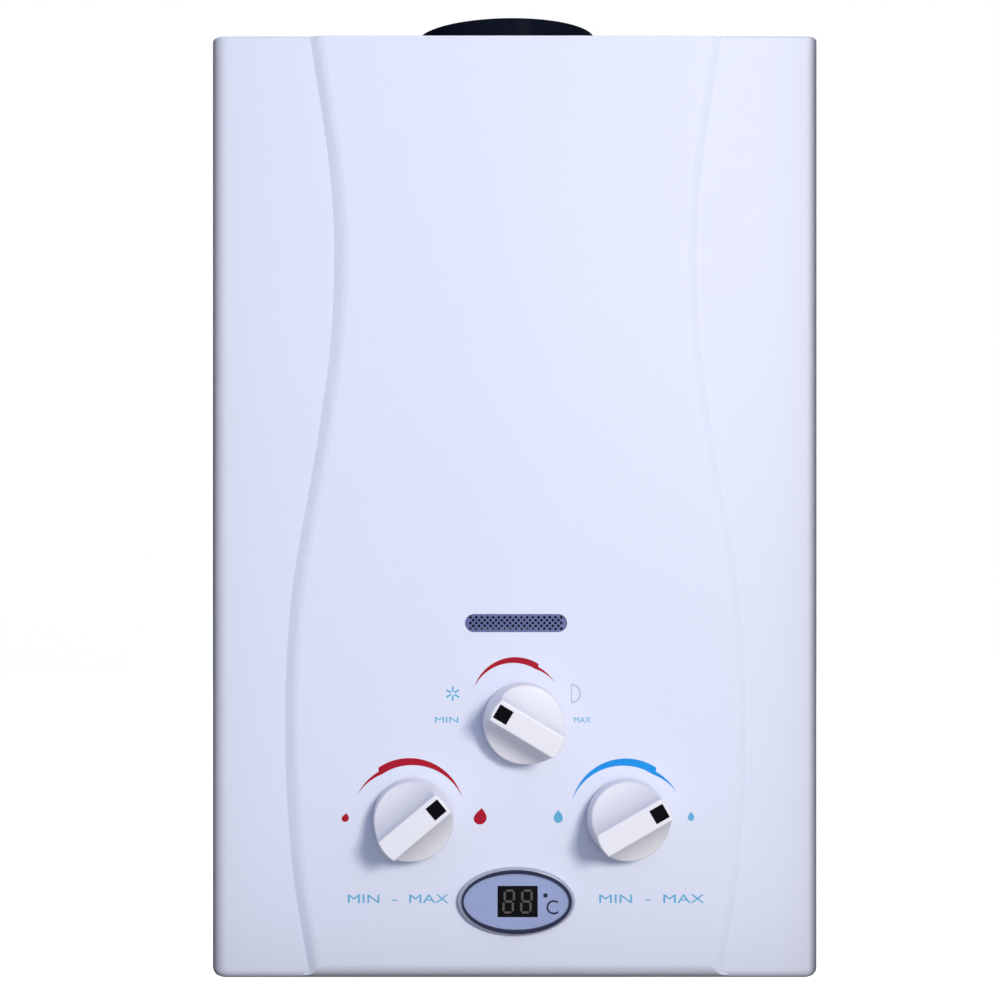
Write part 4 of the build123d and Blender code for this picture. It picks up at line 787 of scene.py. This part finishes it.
class HEATER_OT_signs(bpy.types.Operator):
    """Print the small flame, drop and season signs beside the scales"""

    bl_idname = "heater.signs"
    bl_label = "Print the signs"

    def execute(self, context):
        colours = context.scene.heater_colours
        warm = bpy.data.materials["Warm ink"]
        pale = print_ink("Pale ink", tuple(colours.pale_print))
        grey = print_ink("Grey ink", tuple(colours.grey_print))
        for signs, lean, ink in ((FLAMES, FLAME_LEAN, warm), (DROPS, 0.0, pale)):
            for name, place, width, height in signs:
                work = bmesh.new()
                drop_shape(work, width, height, lean=width * lean)
                print_piece(name, work, place, ink)
        self.star(pale)
        self.half_circle(grey)
        return {"FINISHED"}

    def star(self, ink):
        """Star of bars for the cold season."""
        work = bmesh.new()
        for angle in STAR_ANGLES:
            turn = math.radians(angle)
            verts = bar_shape(work, STAR_RAY_LENGTH, STAR_RAY_WIDTH, angle)
            place = (STAR_RADIUS * math.cos(turn), 0, STAR_RADIUS * math.sin(turn))
            bmesh.ops.translate(work, verts=verts, vec=place)
        print_piece("cold_season_sign", work, STAR_PLACE, ink)

    def half_circle(self, ink):
        """Outlined half circle for the warm season."""
        work = bmesh.new()
        disc_shape(work, HALF_CIRCLE_RADIUS, SIGN_SEGMENTS)
        bmesh.ops.bisect_plane(
            work, geom=work.verts[:] + work.edges[:] + work.faces[:], dist=WELD / 10,
            plane_co=(0, 0, 0), plane_no=(-1, 0, 0), clear_outer=True,
        )
        ring = bmesh.ops.inset_region(
            work, faces=work.faces[:], thickness=HALF_CIRCLE_LINE, use_boundary=True
        )
        inner = [face for face in work.faces if face not in ring["faces"]]
        bmesh.ops.delete(work, geom=inner, context="FACES")
        print_piece("warm_season_sign", work, HALF_CIRCLE_PLACE, ink)


def print_word(name, text, place, height, width, material, front=FIELD_FRONT):
    """Printed word centred on a place, made a mesh before it is laid on the front."""
    curve = bpy.data.curves.new(name, "FONT")
    curve.body = text
    curve.align_x = "CENTER"
    curve.align_y = "CENTER"
    curve.resolution_u = 3
    carrier = bpy.data.objects.new(name + "_curve", curve)
    bpy.context.scene.collection.objects.link(carrier)
    bpy.context.view_layer.update()
    mesh = bpy.data.meshes.new_from_object(carrier)
    bpy.data.objects.remove(carrier)
    work = bmesh.new()
    work.from_mesh(mesh)
    bpy.data.meshes.remove(mesh)
    stand_up(work, work.verts[:])
    low = Vector((min(v.co.x for v in work.verts), 0, min(v.co.z for v in work.verts)))
    high = Vector((max(v.co.x for v in work.verts), 0, max(v.co.z for v in work.verts)))
    bmesh.ops.translate(work, verts=work.verts[:], vec=-(low + high) / 2)
    fit = (width / (high.x - low.x), 1, height / (high.z - low.z))
    bmesh.ops.scale(work, verts=work.verts[:], vec=fit)
    return print_piece(name, work, place, material, front)


class HEATER_OT_words(bpy.types.Operator):
    """Print the plain range words beside and under the knobs"""

    bl_idname = "heater.words"
    bl_label = "Print the range words"

    def execute(self, context):
        sizes = context.scene.heater_print
        pale = bpy.data.materials["Pale ink"]
        small = sizes.small_word_height * SMALL_CAPITAL_SHARE
        tall = sizes.word_height * CAPITAL_SHARE
        print_word("season_low_word", "MIN", SEASON_LOW_PLACE, small, SEASON_LOW_WIDTH, pale)
        print_word("season_high_word", "MAX", SEASON_HIGH_PLACE, small, SEASON_HIGH_WIDTH, pale)
        print_word("gas_range_words", "MIN  -  MAX", GAS_RANGE_PLACE, tall, GAS_RANGE_WIDTH, pale)
        print_word("water_range_words", "MIN  -  MAX", WATER_RANGE_PLACE, tall, WATER_RANGE_WIDTH, pale)
        return {"FINISHED"}


class HEATER_OT_digits(bpy.types.Operator):
    """Make the unlit digits in the display window and the degree sign beside it"""

    bl_idname = "heater.digits"
    bl_label = "Make the display digits"

    def execute(self, context):
        segment = tuple(context.scene.heater_colours.segment)
        unlit = finish("Unlit segment", (segment, shade(segment, 1.25)), (0.3, 0.4), 1500, 200)
        low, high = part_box("display_led")
        middle = (low + high) / 2
        work = bmesh.new()
        for side in (-1, 1):
            self.digit(work, side * DIGIT_OFFSET)
        print_piece("display_digits", work, (middle.x, middle.z), unlit, front=low.y)
        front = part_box("display_face")[0].y
        ink = print_ink("Display ink", DISPLAY_INK)
        work = bmesh.new()
        disc_shape(work, DEGREE_RADIUS, DEGREE_SEGMENTS)
        print_piece("degree_sign", work, DEGREE_PLACE, ink, front)
        word = print_word("celsius_sign", "C", LETTER_PLACE, LETTER_HEIGHT, LETTER_WIDTH, ink, front)
        return {"FINISHED"}

    def digit(self, work, offset):
        """Seven leaning segments."""
        bars = [(0, share * DIGIT_HEIGHT, 0) for share in (0.5, 0, -0.5)]
        for rise in (0.25, -0.25):
            bars += [(side * DIGIT_WIDTH, rise * DIGIT_HEIGHT, 90) for side in (-0.5, 0.5)]
        for x, z, angle in bars:
            length = (DIGIT_HEIGHT / 2 if angle else DIGIT_WIDTH) - SEGMENT_WIDTH * SEGMENT_GAP_SHARE
            verts = bar_shape(work, length, SEGMENT_WIDTH, angle)
            bmesh.ops.translate(work, verts=verts, vec=(offset + x + z * DIGIT_LEAN, 0, z))


def area_lamp(name, place, target, size, power, colour):
    """Soft square lamp aimed at a point."""
    lamp = bpy.data.lights.new(name, "AREA")
    lamp.size = size
    lamp.energy = power
    lamp.color = colour
    holder = bpy.data.objects.new(name, lamp)
    holder.location = place
    holder.rotation_euler = (Vector(target) - Vector(place)).to_track_quat("-Z", "Y").to_euler()
    bpy.context.scene.collection.objects.link(holder)


def studio_material(name, grey, roughness):
    """Even grey surface of the studio."""
    material = bpy.data.materials.new(name)
    material.use_nodes = True
    shader = material.node_tree.nodes["Principled BSDF"]
    shader.inputs["Base Color"].default_value = (grey, grey, grey, 1.0)
    shader.inputs["Roughness"].default_value = roughness
    return material


class HEATER_OT_stage(bpy.types.Operator):
    """Set up the floor, the lamps, the surroundings and the camera"""

    bl_idname = "heater.stage"
    bl_label = "Set up the stage"

    def execute(self, context):
        scene = context.scene
        stage = scene.heater_stage
        scene.view_settings.view_transform = "Standard"
        self.floor()
        self.surroundings(stage.ambient)
        area_lamp("key_lamp", KEY_PLACE, (0, FIELD_FRONT, 0), KEY_SIZE, stage.key_power, KEY_COLOUR)
        area_lamp("back_lamp", BACK_PLACE, (0, 0, 0), BACK_SIZE, stage.back_power, BACK_COLOUR)
        for name, place, size, upright in FLAGS:
            self.flag(name, place, size, upright)
        self.camera(scene, stage)
        return {"FINISHED"}

    def camera(self, scene, stage):
        """Camera that looks straight at the panel from one side, with the picture shifted back."""
        camera = bpy.data.cameras.new("camera")
        holder = bpy.data.objects.new("camera", camera)
        camera.sensor_width = SENSOR_WIDTH
        camera.lens = SENSOR_WIDTH * stage.camera_distance * stage.camera_scale
        camera.clip_start = CLIP_START
        camera.shift_x = FRAME_SHIFT_X - stage.camera_side * stage.camera_scale
        camera.shift_y = FRAME_SHIFT_Y - stage.camera_height * stage.camera_scale
        holder.location = (stage.camera_side, FIELD_FRONT - stage.camera_distance, stage.camera_height)
        holder.rotation_euler = (QUARTER_TURN, 0, 0)
        scene.collection.objects.link(holder)
        scene.camera = holder

    def floor(self):
        """Pale floor below the heater that keeps its shadow."""
        work = bmesh.new()
        bmesh.ops.create_grid(work, x_segments=1, y_segments=1, size=FLOOR_HALF)
        bmesh.ops.translate(work, verts=work.verts[:], vec=(0, 0, FLOOR_LEVEL))
        material = studio_material("Pale floor", FLOOR_GREY, FLOOR_ROUGHNESS)
        tree = material.node_tree
        shader = tree.nodes["Principled BSDF"]
        shader.inputs["Emission Color"].default_value = WHITE
        rays = tree.nodes.new("ShaderNodeLightPath")
        glow = tree.nodes.new("ShaderNodeMath")
        glow.operation = "MULTIPLY"
        glow.inputs[1].default_value = FLOOR_GLOW
        tree.links.new(rays.outputs["Is Camera Ray"], glow.inputs[0])
        tree.links.new(glow.outputs["Value"], shader.inputs["Emission Strength"])
        floor = mesh_piece("floor", work, material)
        bpy.context.scene.collection.objects.link(floor)

    def flag(self, name, place, size, upright):
        """Black card beside an edge, unseen by the camera, that keeps the lamp off the edge."""
        work = bmesh.new()
        bmesh.ops.create_grid(work, x_segments=1, y_segments=1, size=0.5)
        bmesh.ops.scale(work, verts=work.verts[:], vec=(size[0], size[1], 1))
        if upright:
            stand_up(work, work.verts[:])
            bmesh.ops.rotate(work, verts=work.verts[:], matrix=Matrix.Rotation(QUARTER_TURN, 3, "Z"))
        bmesh.ops.translate(work, verts=work.verts[:], vec=place)
        card = mesh_piece(name, work, studio_material(name, FLAG_GREY, 1.0))
        card.visible_camera = False
        bpy.context.scene.collection.objects.link(card)

    def surroundings(self, ambient):
        """White to the camera, and for all else a cool light from the front that fades to the sides."""
        world = bpy.data.worlds.new("Studio")
        bpy.context.scene.world = world
        world.use_nodes = True
        tree = world.node_tree
        backdrop = tree.nodes["Background"]
        rays = tree.nodes.new("ShaderNodeLightPath")
        seen = tree.nodes.new("ShaderNodeMath")
        seen.operation = "MAXIMUM"
        tree.links.new(rays.outputs["Is Camera Ray"], seen.inputs[0])
        tree.links.new(rays.outputs["Is Transmission Ray"], seen.inputs[1])
        place = tree.nodes.new("ShaderNodeTexCoord")
        split = tree.nodes.new("ShaderNodeSeparateXYZ")
        tree.links.new(place.outputs["Generated"], split.inputs["Vector"])
        front = tree.nodes.new("ShaderNodeMapRange")
        front.inputs["From Min"].default_value = FRONT_FADE[0]
        front.inputs["From Max"].default_value = FRONT_FADE[1]
        front.inputs["To Min"].default_value = FRONT_LIGHT[0]
        front.inputs["To Max"].default_value = FRONT_LIGHT[1]
        tree.links.new(split.outputs["Y"], front.inputs["Value"])
        light = tree.nodes.new("ShaderNodeMix")
        light.data_type = "RGBA"
        light.inputs["A"].default_value = BLACK
        light.inputs["B"].default_value = (*(tint * ambient for tint in COOL_TINT), 1.0)
        tree.links.new(front.outputs["Result"], light.inputs["Factor"])
        mix = tree.nodes.new("ShaderNodeMix")
        mix.data_type = "RGBA"
        mix.inputs["B"].default_value = WHITE
        tree.links.new(light.outputs["Result"], mix.inputs["A"])
        tree.links.new(seen.outputs["Value"], mix.inputs["Factor"])
        tree.links.new(mix.outputs["Result"], backdrop.inputs["Color"])


class HEATER_PT_panel(bpy.types.Panel):
    """Settings and steps of the water heater"""

    bl_idname = "HEATER_PT_panel"
    bl_label = "Wall water heater"
    bl_space_type = "VIEW_3D"
    bl_region_type = "UI"
    bl_category = "Heater"

    def draw(self, context):
        scene = context.scene
        for group in (scene.heater_colours, scene.heater_print, scene.heater_stage):
            box = self.layout.box()
            for name in group.__annotations__:
                box.prop(group, name)
        for step in STEPS:
            self.layout.operator(step.bl_idname)


GROUPS = (HeaterColours, HeaterPrint, HeaterStage)
STEPS = (
    HEATER_OT_casing,
    HEATER_OT_cover,
    HEATER_OT_controls,
    HEATER_OT_inside,
    HEATER_OT_scales,
    HEATER_OT_signs,
    HEATER_OT_words,
    HEATER_OT_digits,
    HEATER_OT_stage,
)
CLASSES = GROUPS + STEPS + (HEATER_PT_panel,)


def register():
    for item in CLASSES:
        bpy.utils.register_class(item)
    bpy.types.Scene.heater_colours = PointerProperty(type=HeaterColours)
    bpy.types.Scene.heater_print = PointerProperty(type=HeaterPrint)
    bpy.types.Scene.heater_stage = PointerProperty(type=HeaterStage)


def unregister():
    del bpy.types.Scene.heater_stage
    del bpy.types.Scene.heater_print
    del bpy.types.Scene.heater_colours
    for item in reversed(CLASSES):
        bpy.utils.unregister_class(item)


def main():
    register()
    bpy.ops.heater.casing()
    bpy.ops.heater.cover()
    bpy.ops.heater.controls()
    bpy.ops.heater.inside()
    bpy.ops.heater.scales()
    bpy.ops.heater.signs()
    bpy.ops.heater.words()
    bpy.ops.heater.digits()
    bpy.ops.heater.stage()
    bpy.context.view_layer.update()


if __name__ == "__main__":
    main()
